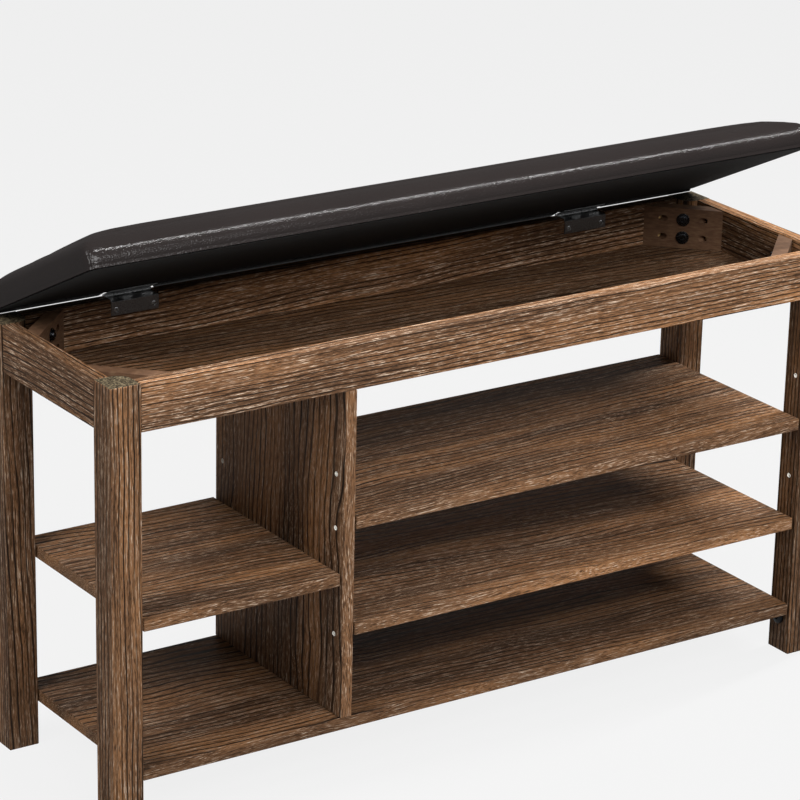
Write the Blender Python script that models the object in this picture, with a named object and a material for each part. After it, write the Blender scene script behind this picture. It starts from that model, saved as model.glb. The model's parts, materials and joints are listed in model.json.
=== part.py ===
"""Shoe storage bench: a tray under a padded lid, a divider and three tiers of shelves.

Metres, +Z up, +X to the bench's right and +Y to its rear. The origin lies on the floor, in the middle
of the outline that the bench covers with its lid open at the rest angle. Inside the script the bench
is laid out from its front face (y = 0), and one empty moves all of it to that origin.
"""
import math

import bmesh
import bpy
from mathutils import Matrix, Vector

for old in list(bpy.data.objects):
    bpy.data.objects.remove(old, do_unlink=True)

# Frame
BENCH_LENGTH = 1.000
BENCH_DEPTH = 0.286
FRAME_HEIGHT = 0.523
LEG_SIDE = 0.038
LEG_ROUNDING = 0.019
APRON_HEIGHT = 0.056
APRON_THICKNESS = 0.018
APRON_SETBACK = 0.001
EDGE_CHAMFER = 0.0008
FIT = 0.0003
OVERCUT = 0.001

# Dowels glued into the divider's two ends
DOWEL_RADIUS = 0.003
DOWEL_REACH = 0.011
DOWEL_END_ROOM = 0.0005
DOWEL_INSET = 0.007

# Tray floor
TRAY_FLOOR_THICKNESS = 0.003
REBATE_WIDTH = 0.008
TRAY_CORNER_ROOM = 0.0015

# Corner blocks, and the bolts that draw the legs to them
BLOCK_REACH = 0.070
BLOCK_THICKNESS = 0.018
BLOCK_DROP = 0.0015
BLOCK_ROW_SPACING = 0.023
BOLT_RADIUS = 0.0029
BOLT_HEAD_RADIUS = 0.0060
BOLT_HEAD_HEIGHT = 0.0030
BOLT_SOCKET_RADIUS = 0.0023
BOLT_SOCKET_DEPTH = 0.0018
BOLT_GRIP_IN_LEG = 0.018
BOLT_HOLE_ROOM = 0.0006
WASHER_RADIUS = 0.0082
WASHER_THICKNESS = 0.0012
POCKET_OFFSET = 0.025
POCKET_RADIUS = 0.004
POCKET_WEB = 0.007
POCKET_PILOT_RADIUS = 0.0021

# Shelves and divider
SHELF_THICKNESS = 0.015
SHELF_SETBACK = 0.003
SHELF_END_GAP = 0.003
BOTTOM_SHELF_TOP = 0.068
BOTTOM_SHELF_END_GAP = 0.0015
DIVIDER_THICKNESS = 0.015
DIVIDER_SETBACK = 0.0015
DIVIDER_LEFT_FACE = 0.299

# Rows of pin holes
LOWEST_HOLE_HEIGHT = 0.1685
HOLE_PITCH = 0.065
HOLE_ROWS = 4
SHELF_PIN_RADIUS = 0.0024
SHELF_PIN_GRIP = 0.0058
SHELF_PIN_REACH = 0.0095
SHELF_PIN_FLAT_DROP = 0.0006

# Studs under the bottom shelf
STUD_HEAD_RADIUS = 0.008
STUD_HEAD_HEIGHT = 0.005
STUD_SOCKET_RADIUS = 0.0025
STUD_SOCKET_DEPTH = 0.0025
STUD_RADIUS = 0.003
STUD_GRIP = 0.022

# Hinges
HINGE_INSET = 0.150
HINGE_WIDTH = 0.062
LEAF_THICKNESS = 0.0012
FRAME_LEAF_DROP = 0.0165
FRAME_SCREW_DROP = 0.0096
LID_LEAF_LENGTH = 0.020
BARREL_RADIUS = 0.0028
HINGE_PIN_RADIUS = 0.0013
KNUCKLES = 5
KNUCKLE_GAP = 0.0004
AXIS_DROP = 0.0011
HINGE_SCREW_RADIUS = 0.0014
HINGE_SCREW_HEAD_RADIUS = 0.0028
HINGE_SCREW_LENGTH = 0.011
LID_SCREW_REACH = 0.0125
HINGE_SCREW_INSET = 0.0065
FLANGE_HOLE_INSET = 0.014

# Lid
OPEN_ANGLE = math.radians(26.0)
LID_REACH = 0.270
LID_REAR_GAP = 0.002
LID_END_INSET = 0.001
LID_CORNER_RADIUS = 0.014
LID_BOARD_THICKNESS = 0.012
COVER_THICKNESS = 0.0015
COVER_HEM = 0.022
DUST_COVER_THICKNESS = 0.0008
DUST_COVER_INSET = 0.006
PAD_SIDE_HEIGHT = 0.019
PAD_SIDE_SWELL = 0.0015
PAD_DRAW_IN = 0.002
PAD_CROWN = 0.0315
PAD_EDGE_POWER = 3.3
PAD_RING_PLACES = (0.03, 0.10, 0.22, 0.45, 0.75)
PAD_ROUNDING_GROWTH = 0.30

# Facets of round pieces
COARSE = 10
MEDIUM = 14
FINE = 18
CORNER_STEPS = 6
LONG_SIDE_POINTS = 7
SHORT_SIDE_POINTS = 2

# Places that follow from the sizes above
HALF_LENGTH = BENCH_LENGTH / 2
APRON_INNER = APRON_SETBACK + APRON_THICKNESS
APRON_BOTTOM = FRAME_HEIGHT - APRON_HEIGHT
REBATE_HEIGHT = TRAY_FLOOR_THICKNESS + FIT
TRAY_TOP = APRON_BOTTOM + TRAY_FLOOR_THICKNESS
BLOCK_LOW = TRAY_TOP + FIT
BLOCK_HIGH = FRAME_HEIGHT - BLOCK_DROP
BLOCK_MIDDLE = (BLOCK_LOW + BLOCK_HIGH) / 2
BLOCK_ROWS = (BLOCK_MIDDLE - BLOCK_ROW_SPACING / 2, BLOCK_MIDDLE + BLOCK_ROW_SPACING / 2)
BLOCK_HALF_FACE = BLOCK_REACH / math.sqrt(2)
LEG_CORNER_DIAGONAL = (LEG_SIDE - LEG_ROUNDING) * math.sqrt(2) + LEG_ROUNDING
BLOCK_FACE_DIAGONAL = (APRON_INNER + BLOCK_REACH / 2) * math.sqrt(2)
LEG_FROM_BLOCK_FACE = BLOCK_FACE_DIAGONAL - LEG_CORNER_DIAGONAL
POCKET_RUN = (BLOCK_HALF_FACE - POCKET_OFFSET) / math.sqrt(2)
HOLE_HEIGHTS = [LOWEST_HOLE_HEIGHT + row * HOLE_PITCH for row in range(HOLE_ROWS)]
HOLE_COLUMNS = (LEG_SIDE / 2, BENCH_DEPTH - LEG_SIDE / 2)
DIVIDER_LEFT = DIVIDER_LEFT_FACE - HALF_LENGTH
DIVIDER_RIGHT = DIVIDER_LEFT + DIVIDER_THICKNESS
BOTTOM_SHELF_LOW = BOTTOM_SHELF_TOP - SHELF_THICKNESS
STUD_HEIGHT = BOTTOM_SHELF_LOW - FIT - STUD_HEAD_RADIUS
AXIS_Y = BENCH_DEPTH - APRON_SETBACK
AXIS_Z = FRAME_HEIGHT - AXIS_DROP
NOTCH_DEPTH = AXIS_DROP + BARREL_RADIUS + FIT
HEAD_DEPTH = LEAF_THICKNESS + FIT
LEAF_EDGE = -(BARREL_RADIUS + 2 * FIT)
LEAF_LOW = -BARREL_RADIUS
LEAF_HIGH = LEAF_LOW + LEAF_THICKNESS
HINGE_CENTRES = (-HALF_LENGTH + HINGE_INSET + HINGE_WIDTH / 2, HALF_LENGTH - HINGE_INSET - HINGE_WIDTH / 2)
HINGE_SIDES = ("left", "right")

# Layers of the lid, as heights above the hinge axis with the lid's underside level
DUST_LOW = BARREL_RADIUS + FIT
DUST_HIGH = DUST_LOW + DUST_COVER_THICKNESS
HEM_LOW = DUST_HIGH + FIT
HEM_HIGH = HEM_LOW + COVER_THICKNESS
LID_BOARD_LOW = HEM_HIGH + FIT
LID_BOARD_HIGH = LID_BOARD_LOW + LID_BOARD_THICKNESS
FOAM_LOW = LID_BOARD_HIGH + FIT
PAD_SHOULDER = HEM_LOW + PAD_SIDE_HEIGHT
LID_HALF_LENGTH = HALF_LENGTH - LID_END_INSET
PAD_HALF_DEPTH = (LID_REACH - LID_REAR_GAP) / 2
BOARD_INSET = COVER_THICKNESS + FIT + PAD_DRAW_IN

LEFT_RIGHT = (("left", -1), ("right", 1))
FRONT_REAR = (("front", -1), ("rear", 1))

# Each loose shelf's name, the side of the divider that it is on, and its row of pins, counted from 0
LOOSE_SHELVES = (("left", -1, 1), ("right_lower", 1, 0), ("right_upper", 1, 2))

FINISHES = {
    "walnut_laminate": ("#6b4b32", 0.55, 0.0),
    "raw_block": ("#5b402b", 0.65, 0.0),
    "tray_panel": ("#57402d", 0.55, 0.0),
    "black_steel": ("#17181a", 0.35, 1.0),
    "dark_hinge_steel": ("#46474a", 0.38, 1.0),
    "bright_steel": ("#a9abad", 0.30, 1.0),
    "espresso_leather": ("#2e2724", 0.42, 0.0),
    "black_cloth": ("#141413", 0.90, 0.0),
    "foam": ("#d8cfa8", 0.95, 0.0),
    "plywood": ("#b08d62", 0.70, 0.0),
}


def linear(channel):
    """One sRGB channel, 0 to 1, as a linear value."""
    if channel <= 0.04045:
        return channel / 12.92
    return ((channel + 0.055) / 1.055) ** 2.4


def give_finish(obj, finish):
    """Gives the object a material of its own with the finish's colour, roughness and metallic value."""
    colour, roughness, metallic = FINISHES[finish]
    material = bpy.data.materials.new(obj.name + "_" + finish)
    material.use_nodes = True
    shader = material.node_tree.nodes["Principled BSDF"]
    channels = [int(colour[place:place + 2], 16) / 255 for place in (1, 3, 5)]
    shader.inputs["Base Color"].default_value = [linear(channel) for channel in channels] + [1.0]
    shader.inputs["Roughness"].default_value = roughness
    shader.inputs["Metallic"].default_value = metallic
    obj.data.materials.append(material)


def empty(name, location=(0, 0, 0), rotation=(0, 0, 0), parent=None):
    """An empty that carries pieces."""
    obj = bpy.data.objects.new(name, None)
    obj.location = location
    obj.rotation_euler = rotation
    obj.parent = parent
    bpy.context.collection.objects.link(obj)
    return obj


def piece(name, bm, finish, parent, location=(0, 0, 0), rotation=(0, 0, 0), smooth=False):
    """Makes the object of one sub-part from its bmesh."""
    bmesh.ops.recalc_face_normals(bm, faces=bm.faces)
    mesh = bpy.data.meshes.new(name)
    bm.to_mesh(mesh)
    bm.free()
    if smooth:
        mesh.shade_smooth()
        mesh.set_sharp_from_angle(angle=math.radians(40))
    obj = bpy.data.objects.new(name, mesh)
    obj.location = location
    obj.rotation_euler = rotation
    obj.parent = parent
    bpy.context.collection.objects.link(obj)
    if finish:
        give_finish(obj, finish)
    return obj


def boolean(obj, tool, operation):
    """Adds an exact Boolean with a hidden tool object."""
    tool.hide_render = True
    tool.display_type = "WIRE"
    modifier = obj.modifiers.new(tool.name, "BOOLEAN")
    modifier.operation = operation
    modifier.solver = "EXACT"
    modifier.object = tool


def add_box(bm, low, high):
    """Adds a box between two corners."""
    low, high = Vector(low), Vector(high)
    matrix = Matrix.Translation((low + high) / 2) @ Matrix.Diagonal((high - low).to_4d())
    bmesh.ops.create_cube(bm, size=1.0, matrix=matrix)


def add_turned(bm, start, direction, profile, sides):
    """Adds a turned solid, whose profile starts and ends on its axis.

    The profile holds (radius, distance from start along direction) points.
    """
    part = bmesh.new()
    verts = [part.verts.new((radius, 0, distance)) for radius, distance in profile]
    edges = [part.edges.new(pair) for pair in zip(verts, verts[1:])]
    bmesh.ops.spin(part, geom=verts + edges, cent=(0, 0, 0), axis=(0, 0, 1), angle=2 * math.pi,
                   steps=sides, use_merge=True, use_duplicate=False)
    bmesh.ops.remove_doubles(part, verts=part.verts, dist=1e-6)
    turn = Vector(direction).to_track_quat("Z", "Y").to_matrix().to_4x4()
    bmesh.ops.transform(part, matrix=Matrix.Translation(start) @ turn, verts=part.verts)
    bmesh.ops.recalc_face_normals(part, faces=part.faces)
    mesh = bpy.data.meshes.new("turned")
    part.to_mesh(mesh)
    part.free()
    bm.from_mesh(mesh)
    bpy.data.meshes.remove(mesh)


def add_prism(bm, outline, offset):
    """Adds a prism: the outline's points, moved by offset."""
    face = bm.faces.new([bm.verts.new(point) for point in outline])
    moved = bmesh.ops.extrude_face_region(bm, geom=[face], use_keep_orig=True)
    verts = [item for item in moved["geom"] if isinstance(item, bmesh.types.BMVert)]
    bmesh.ops.translate(bm, verts=verts, vec=offset)


def plain_hole(radius, depth, over=OVERCUT):
    """The profile of a drilled hole that starts a little above the surface."""
    return [(0, -over), (radius, -over), (radius, depth), (0, depth)]


def drill(obj, name, holes, sides):
    """Cuts holes, each (start, direction, profile), given in the frame of the object's parent.

    The flats of a faceted hole lie at the profile's radius, so that round pieces pass through it.
    """
    bm = bmesh.new()
    grow = 1 / math.cos(math.pi / sides)
    for start, direction, profile in holes:
        add_turned(bm, start, direction, [(radius * grow, distance) for radius, distance in profile], sides)
    tool = piece(name, bm, None, obj.parent)
    boolean(obj, tool, "DIFFERENCE")


def carve(obj, name, boxes):
    """Cuts boxes, each (low, high), given in the frame of the object's parent."""
    bm = bmesh.new()
    for low, high in boxes:
        add_box(bm, low, high)
    tool = piece(name, bm, None, obj.parent)
    boolean(obj, tool, "DIFFERENCE")


def board(name, low, high, finish, parent):
    """A flat board with its edges taken off, placed by its middle."""
    low, high = Vector(low), Vector(high)
    middle = (low + high) / 2
    bm = bmesh.new()
    add_box(bm, low - middle, high - middle)
    obj = piece(name, bm, finish, parent, location=middle)
    chamfer = obj.modifiers.new("edges", "BEVEL")
    chamfer.width = EDGE_CHAMFER
    chamfer.segments = 1
    return obj


def from_end(side, distance):
    """The x that lies a distance in from the left (side -1) or right (side 1) end of the bench."""
    return side * (HALF_LENGTH - distance)


def from_face(end, distance):
    """The y that lies a distance in from the front (end -1) or rear (end 1) face of the bench."""
    return distance if end < 0 else BENCH_DEPTH - distance


def corner_frame(side, end):
    """A corner block's frame: origin in its face's middle, +Y to the leg along the diagonal."""
    reach = APRON_INNER + BLOCK_REACH / 2
    turn = math.atan2(-side, end)
    return Matrix.Translation((from_end(side, reach), from_face(end, reach), 0)) @ Matrix.Rotation(turn, 4, "Z")


def corners():
    """Each corner's name, side and end."""
    for end_name, end in FRONT_REAR:
        for side_name, side in LEFT_RIGHT:
            yield end_name + "_" + side_name, side, end


def pocket_lines(side, end):
    """Each angled screw of one corner block: (start on the block's face, direction into its apron)."""
    frame = corner_frame(side, end)
    turn = frame.to_3x3()
    lines = []
    for along in (-1, 1):
        direction = turn @ Vector((along, 1, 0)).normalized()
        for z in BLOCK_ROWS:
            lines.append((frame @ Vector((along * POCKET_OFFSET, 0, z)), direction))
    return lines


def make_legs(bench):
    """Four posts, rounded on the inner corner beside the aprons."""
    for name, side, end in corners():
        x_faces = sorted((from_end(side, 0), from_end(side, LEG_SIDE)))
        y_faces = sorted((from_face(end, 0), from_face(end, LEG_SIDE)))
        leg = board("leg_" + name, (x_faces[0], y_faces[0], 0), (x_faces[1], y_faces[1], FRAME_HEIGHT),
                    "walnut_laminate", bench)
        round_leg_corner(leg, name, side, end)
        frame = corner_frame(side, end)
        outward = frame.to_3x3() @ Vector((0, 1, 0))
        bolt = plain_hole(BOLT_RADIUS + FIT, BOLT_GRIP_IN_LEG + FIT)
        drill(leg, "cut_leg_bolts_" + name,
              [(frame @ Vector((0, LEG_FROM_BLOCK_FACE, z)), outward, bolt) for z in BLOCK_ROWS], COARSE)
        inner_face = Vector((from_end(side, LEG_SIDE), from_face(end, LEG_SIDE / 2), 0))
        into_leg = Vector((side, 0, 0))
        pin = plain_hole(SHELF_PIN_RADIUS + FIT, SHELF_PIN_GRIP + FIT)
        rows = [(inner_face + Vector((0, 0, z)), into_leg, pin) for z in HOLE_HEIGHTS]
        stud = plain_hole(STUD_RADIUS + FIT, STUD_GRIP + FIT)
        rows.append((inner_face + Vector((0, 0, STUD_HEIGHT)), into_leg, stud))
        drill(leg, "cut_leg_rows_" + name, rows, COARSE)


def round_leg_corner(leg, name, side, end):
    """Cuts the leg's inner corner to an arc, from the aprons' lower edge up."""
    def place(x, y, z):
        return Vector((from_end(side, x), from_face(end, y), z))

    centre = LEG_SIDE - LEG_ROUNDING
    over = LEG_SIDE + OVERCUT
    low, high = APRON_BOTTOM, FRAME_HEIGHT + OVERCUT
    outline = []
    for step in range(2 * CORNER_STEPS + 1):
        angle = math.pi / 2 * step / (2 * CORNER_STEPS)
        outline.append(place(centre + LEG_ROUNDING * math.cos(angle), centre + LEG_ROUNDING * math.sin(angle), low))
    outline += [place(centre, over, low), place(over, over, low), place(over, centre, low)]
    bm = bmesh.new()
    add_prism(bm, outline, (0, 0, high - low))
    boolean(leg, piece("cut_leg_corner_" + name, bm, None, leg.parent), "DIFFERENCE")


def make_aprons(bench):
    """Four boards on edge, rebated along the lower inner edge for the tray floor."""
    high = FRAME_HEIGHT
    cut_low, cut_high = APRON_BOTTOM - OVERCUT, APRON_BOTTOM + REBATE_HEIGHT
    for name, end in FRONT_REAR:
        near, far = sorted((from_face(end, APRON_SETBACK), from_face(end, APRON_INNER)))
        x = from_end(1, LEG_SIDE + FIT)
        apron = board("apron_" + name, (-x, near, APRON_BOTTOM), (x, far, high), "walnut_laminate", bench)
        near, far = sorted((from_face(end, APRON_INNER - REBATE_WIDTH), from_face(end, APRON_INNER + OVERCUT)))
        boxes = [((-x - OVERCUT, near, cut_low), (x + OVERCUT, far, cut_high))]
        holes = [(point, direction, dowel_hole()) for point, direction in divider_dowels()
                 if direction.z > 0 and (point.y - BENCH_DEPTH / 2) * end > 0]
        if end > 0:
            boxes += hinge_notches()
            pilot = plain_hole(HINGE_SCREW_RADIUS + FIT, HINGE_SCREW_LENGTH)
            for centre in HINGE_CENTRES:
                holes += [(start, direction, pilot) for start, direction in frame_leaf_screws(centre)]
        carve(apron, "cut_rebate_" + name, boxes)
        drill(apron, "cut_apron_holes_" + name, holes, COARSE)
    for name, side in LEFT_RIGHT:
        near, far = sorted((from_end(side, APRON_SETBACK), from_end(side, APRON_INNER)))
        y = (from_face(-1, LEG_SIDE + FIT), from_face(1, LEG_SIDE + FIT))
        apron = board("apron_" + name, (near, y[0], APRON_BOTTOM), (far, y[1], high), "walnut_laminate", bench)
        near, far = sorted((from_end(side, APRON_INNER - REBATE_WIDTH), from_end(side, APRON_INNER + OVERCUT)))
        carve(apron, "cut_rebate_" + name, [((near, y[0] - OVERCUT, cut_low), (far, y[1] + OVERCUT, cut_high))])


def make_tray(bench):
    """The thin floor under the lid, let into the aprons' rebates and clear of the legs."""
    edge = APRON_INNER - REBATE_WIDTH + FIT
    run = (LEG_CORNER_DIAGONAL + TRAY_CORNER_ROOM) * math.sqrt(2) - edge
    outline = []
    for side, end, order in ((-1, -1, 1), (1, -1, -1), (1, 1, 1), (-1, 1, -1)):
        for x, y in [(edge, run), (run, edge)][::order]:
            outline.append(Vector((from_end(side, x), from_face(end, y), APRON_BOTTOM)))
    bm = bmesh.new()
    add_prism(bm, outline, (0, 0, TRAY_FLOOR_THICKNESS))
    piece("tray_floor", bm, "tray_panel", bench)


def make_corner_blocks(bench):
    """Blocks across the corners, with two bolt holes and four angled screw pockets each."""
    end_gap = FIT * math.sqrt(2)
    front, back = BLOCK_HALF_FACE - end_gap, BLOCK_HALF_FACE - BLOCK_THICKNESS - end_gap
    mouth = -2 * POCKET_RADIUS
    counterbore = POCKET_RUN - POCKET_WEB
    pocket = [(0, mouth), (POCKET_RADIUS, mouth), (POCKET_RADIUS, counterbore),
              (POCKET_PILOT_RADIUS, counterbore), (POCKET_PILOT_RADIUS, POCKET_RUN + OVERCUT),
              (0, POCKET_RUN + OVERCUT)]
    for name, side, end in corners():
        frame = corner_frame(side, end)
        bm = bmesh.new()
        outline = [(-front, 0, BLOCK_LOW), (front, 0, BLOCK_LOW), (back, BLOCK_THICKNESS, BLOCK_LOW),
                   (-back, BLOCK_THICKNESS, BLOCK_LOW)]
        add_prism(bm, outline, (0, 0, BLOCK_HIGH - BLOCK_LOW))
        block = piece("corner_block_" + name, bm, "raw_block", bench, location=frame.to_translation(),
                      rotation=frame.to_euler())
        outward = frame.to_3x3() @ Vector((0, 1, 0))
        through = plain_hole(BOLT_RADIUS + BOLT_HOLE_ROOM, BLOCK_THICKNESS + OVERCUT)
        drill(block, "cut_block_bolts_" + name,
              [(frame @ Vector((0, 0, z)), outward, through) for z in BLOCK_ROWS], FINE)
        drill(block, "cut_block_pockets_" + name,
              [(start, direction, pocket) for start, direction in pocket_lines(side, end)], FINE)


def make_corner_bolts(bench):
    """Two bolts in each corner block, each with a captive washer under its head."""
    washer_back = -FIT
    washer_front = washer_back - WASHER_THICKNESS
    head_front = washer_front - BOLT_HEAD_HEIGHT
    tip = LEG_FROM_BLOCK_FACE + BOLT_GRIP_IN_LEG
    bolt = [(0, head_front), (BOLT_HEAD_RADIUS, head_front), (BOLT_HEAD_RADIUS, washer_front),
            (WASHER_RADIUS, washer_front), (WASHER_RADIUS, washer_back), (BOLT_RADIUS, washer_back),
            (BOLT_RADIUS, tip), (0, tip)]
    for name, side, end in corners():
        frame = corner_frame(side, end)
        for level, z in zip(("lower", "upper"), BLOCK_ROWS):
            fastener("corner_bolt_" + name + "_" + level, bolt, frame @ Vector((0, 0, z)),
                     frame.to_3x3() @ Vector((0, 1, 0)), "black_steel", bench, FINE,
                     (BOLT_SOCKET_RADIUS, head_front, BOLT_SOCKET_DEPTH))


def fastener(name, profile, place, direction, finish, parent, sides, socket=None):
    """A turned fastener placed at its seat, along its direction, with a hex socket (radius, start, depth)."""
    bm = bmesh.new()
    add_turned(bm, (0, 0, 0), (0, 0, 1), profile, sides)
    turn = Vector(direction).to_track_quat("Z", "Y").to_euler()
    obj = piece(name, bm, finish, parent, location=place, rotation=turn, smooth=True)
    if socket:
        radius, start, depth = socket
        bm = bmesh.new()
        add_turned(bm, (0, 0, start), (0, 0, 1), plain_hole(radius, depth), 6)
        tool = piece("cut_socket_" + name, bm, None, parent, location=place, rotation=turn)
        boolean(obj, tool, "DIFFERENCE")
    return obj


def divider_dowels():
    """Dowels at the divider's foot and head: (point in the joint, direction out of the divider)."""
    x = DIVIDER_LEFT + DIVIDER_THICKNESS / 2
    places = []
    for end in (-1, 1):
        y = from_face(end, DOWEL_INSET)
        places.append((Vector((x, y, BOTTOM_SHELF_TOP)), Vector((0, 0, -1))))
        places.append((Vector((x, y, APRON_BOTTOM)), Vector((0, 0, 1))))
    return places


def dowel_hole():
    return plain_hole(DOWEL_RADIUS + FIT, DOWEL_REACH + DOWEL_END_ROOM)


def make_divider(bench):
    """The upright board between the bottom shelf and the aprons: pin holes in both faces, dowels in its ends."""
    low = (DIVIDER_LEFT, DIVIDER_SETBACK, BOTTOM_SHELF_TOP + FIT)
    high = (DIVIDER_RIGHT, BENCH_DEPTH - SHELF_SETBACK, APRON_BOTTOM - FIT)
    divider = board("divider", low, high, "walnut_laminate", bench)
    pin = plain_hole(SHELF_PIN_RADIUS + FIT, SHELF_PIN_GRIP + FIT)
    holes = [(point, direction, pin) for point, direction in divider_pin_places()]
    drill(divider, "cut_divider_rows", holes, COARSE)
    bm = bmesh.new()
    profile = [(0, -DOWEL_REACH), (DOWEL_RADIUS, -DOWEL_REACH), (DOWEL_RADIUS, DOWEL_REACH), (0, DOWEL_REACH)]
    for point, direction in divider_dowels():
        add_turned(bm, point, direction, profile, MEDIUM)
    boolean(divider, piece("join_dowels", bm, None, bench), "UNION")


def divider_pin_places(faces=(-1, 1), rows=range(HOLE_ROWS)):
    """Pin places on the divider: (point on the face, direction into the divider)."""
    places = []
    for face in faces:
        x = DIVIDER_LEFT if face < 0 else DIVIDER_RIGHT
        places += [(Vector((x, y, HOLE_HEIGHTS[row])), Vector((-face, 0, 0))) for row in rows for y in HOLE_COLUMNS]
    return places


def leg_pin_places(side, rows):
    """Pin places on the inner faces of the two legs at one end: (point on the face, direction into the leg)."""
    x = from_end(side, LEG_SIDE)
    return [(Vector((x, y, HOLE_HEIGHTS[row])), Vector((side, 0, 0))) for row in rows for y in HOLE_COLUMNS]


def make_shelves(bench):
    """The bottom shelf, and three loose shelves that lie on pins."""
    front, rear = SHELF_SETBACK, BENCH_DEPTH - SHELF_SETBACK
    x = from_end(1, LEG_SIDE + BOTTOM_SHELF_END_GAP)
    bottom = board("shelf_bottom", (-x, front, BOTTOM_SHELF_LOW), (x, rear, BOTTOM_SHELF_TOP),
                   "walnut_laminate", bench)
    feet = [(point, direction, dowel_hole()) for point, direction in divider_dowels() if direction.z < 0]
    drill(bottom, "cut_shelf_dowels", feet, MEDIUM)
    bays = {-1: (from_end(-1, LEG_SIDE) + SHELF_END_GAP, DIVIDER_LEFT - SHELF_END_GAP),
            1: (DIVIDER_RIGHT + SHELF_END_GAP, from_end(1, LEG_SIDE) - SHELF_END_GAP)}
    for name, bay, row in LOOSE_SHELVES:
        low = HOLE_HEIGHTS[row] - SHELF_PIN_FLAT_DROP + FIT
        ends = bays[bay]
        board("shelf_" + name, (ends[0], front, low), (ends[1], rear, low + SHELF_THICKNESS),
              "walnut_laminate", bench)


def make_pins(bench):
    """Four pins under each loose shelf, and four socket-head studs under the bottom shelf."""
    pin = [(0, -SHELF_PIN_REACH), (SHELF_PIN_RADIUS, -SHELF_PIN_REACH), (SHELF_PIN_RADIUS, SHELF_PIN_GRIP),
           (0, SHELF_PIN_GRIP)]
    for name, bay, row in LOOSE_SHELVES:
        places = leg_pin_places(bay, (row,)) + divider_pin_places((bay,), (row,))
        corner_names = ("leg_front", "leg_rear", "divider_front", "divider_rear")
        for corner_name, (point, direction) in zip(corner_names, places):
            shelf_pin = fastener("shelf_pin_" + name + "_" + corner_name, pin, point, direction, "bright_steel",
                                 bench, MEDIUM)
            flatten_pin(shelf_pin, point, direction)
    head = FIT + STUD_HEAD_HEIGHT
    stud = [(0, -head), (STUD_HEAD_RADIUS, -head), (STUD_HEAD_RADIUS, -FIT), (STUD_RADIUS, -FIT),
            (STUD_RADIUS, STUD_GRIP), (0, STUD_GRIP)]
    for name, side, end in corners():
        point = Vector((from_end(side, LEG_SIDE), from_face(end, LEG_SIDE / 2), STUD_HEIGHT))
        fastener("bottom_shelf_stud_" + name, stud, point, Vector((side, 0, 0)), "black_steel", bench,
                 2 * COARSE, (STUD_SOCKET_RADIUS, -head, STUD_SOCKET_DEPTH))


def flatten_pin(shelf_pin, point, direction):
    """Cuts the part of a pin that stands out of its hole flat on top, where the shelf lies on it."""
    half = SHELF_PIN_RADIUS + OVERCUT
    near, far = sorted(point.x - direction.x * out for out in (FIT, SHELF_PIN_REACH + OVERCUT))
    carve(shelf_pin, "cut_flat_" + shelf_pin.name,
          [((near, point.y - half, point.z - SHELF_PIN_FLAT_DROP), (far, point.y + half, point.z + half))])


def hinge_notches():
    """Boxes cut from the rear apron's upper edge, one for each hinge."""
    half = HINGE_WIDTH / 2 + FIT
    return [((x - half, AXIS_Y - APRON_THICKNESS - OVERCUT, FRAME_HEIGHT - NOTCH_DEPTH),
             (x + half, AXIS_Y + OVERCUT, FRAME_HEIGHT + OVERCUT)) for x in HINGE_CENTRES]


def frame_leaf_screws(centre):
    """Screws of one frame leaf: (point on the apron's inner face, direction into it), left one first."""
    z = AXIS_Z + LEAF_HIGH - FRAME_SCREW_DROP
    offset = HINGE_WIDTH / 2 - HINGE_SCREW_INSET
    return [(Vector((centre + side * offset, AXIS_Y - APRON_THICKNESS, z)), Vector((0, 1, 0)))
            for side in (-1, 1)]


def flange_holes(centre):
    """Countersunk holes in one frame leaf's flange: (point on the notch's floor, direction into it)."""
    offset = HINGE_WIDTH / 2 - FLANGE_HOLE_INSET
    y, z = AXIS_Y - APRON_THICKNESS / 2, FRAME_HEIGHT - NOTCH_DEPTH
    return [(Vector((centre + side * offset, y, z)), Vector((0, 0, -1))) for side in (-1, 1)]


def lid_leaf_screws(centre):
    """Screws of one lid leaf, in the lid's frame: (point on the leaf's board side, direction), left one first."""
    offset = HINGE_WIDTH / 2 - HINGE_SCREW_INSET
    return [(Vector((centre + side * offset, -LID_SCREW_REACH, BARREL_RADIUS)), Vector((0, 0, 1)))
            for side in (-1, 1)]


def countersink():
    """The profile of a screw's hole through a leaf, measured from the leaf's outer face."""
    wide, narrow = HINGE_SCREW_HEAD_RADIUS + FIT, HINGE_SCREW_RADIUS + FIT
    return [(0, -OVERCUT), (wide, -OVERCUT), (wide, 0), (narrow, HEAD_DEPTH), (narrow, HEAD_DEPTH + OVERCUT),
            (0, HEAD_DEPTH + OVERCUT)]


def hinge_screw():
    """The profile of a countersunk screw, whose head ends level with the leaf's outer face."""
    return [(0, 0), (HINGE_SCREW_HEAD_RADIUS, 0), (HINGE_SCREW_RADIUS, HEAD_DEPTH),
            (HINGE_SCREW_RADIUS, HINGE_SCREW_LENGTH), (0, HINGE_SCREW_LENGTH)]


def add_knuckles(bm, centre, flip, own):
    """Adds knuckles with their tabs. The leaf lies under the pin with flip 1 and over it with flip -1."""
    pitch = HINGE_WIDTH / KNUCKLES
    start = -math.pi / 2
    stop = math.pi + math.asin(-LEAF_HIGH / BARREL_RADIUS)
    section = [(LEAF_EDGE - OVERCUT, LEAF_LOW)]
    for step in range(MEDIUM + 1):
        angle = start + (stop - start) * step / MEDIUM
        section.append((BARREL_RADIUS * math.cos(angle), BARREL_RADIUS * math.sin(angle)))
    section.append((LEAF_EDGE - OVERCUT, LEAF_HIGH))
    for index in own:
        x = centre - HINGE_WIDTH / 2 + index * pitch + KNUCKLE_GAP / 2
        outline = [(x, y, flip * z) for y, z in section]
        add_prism(bm, outline, (pitch - KNUCKLE_GAP, 0, 0))


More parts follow.
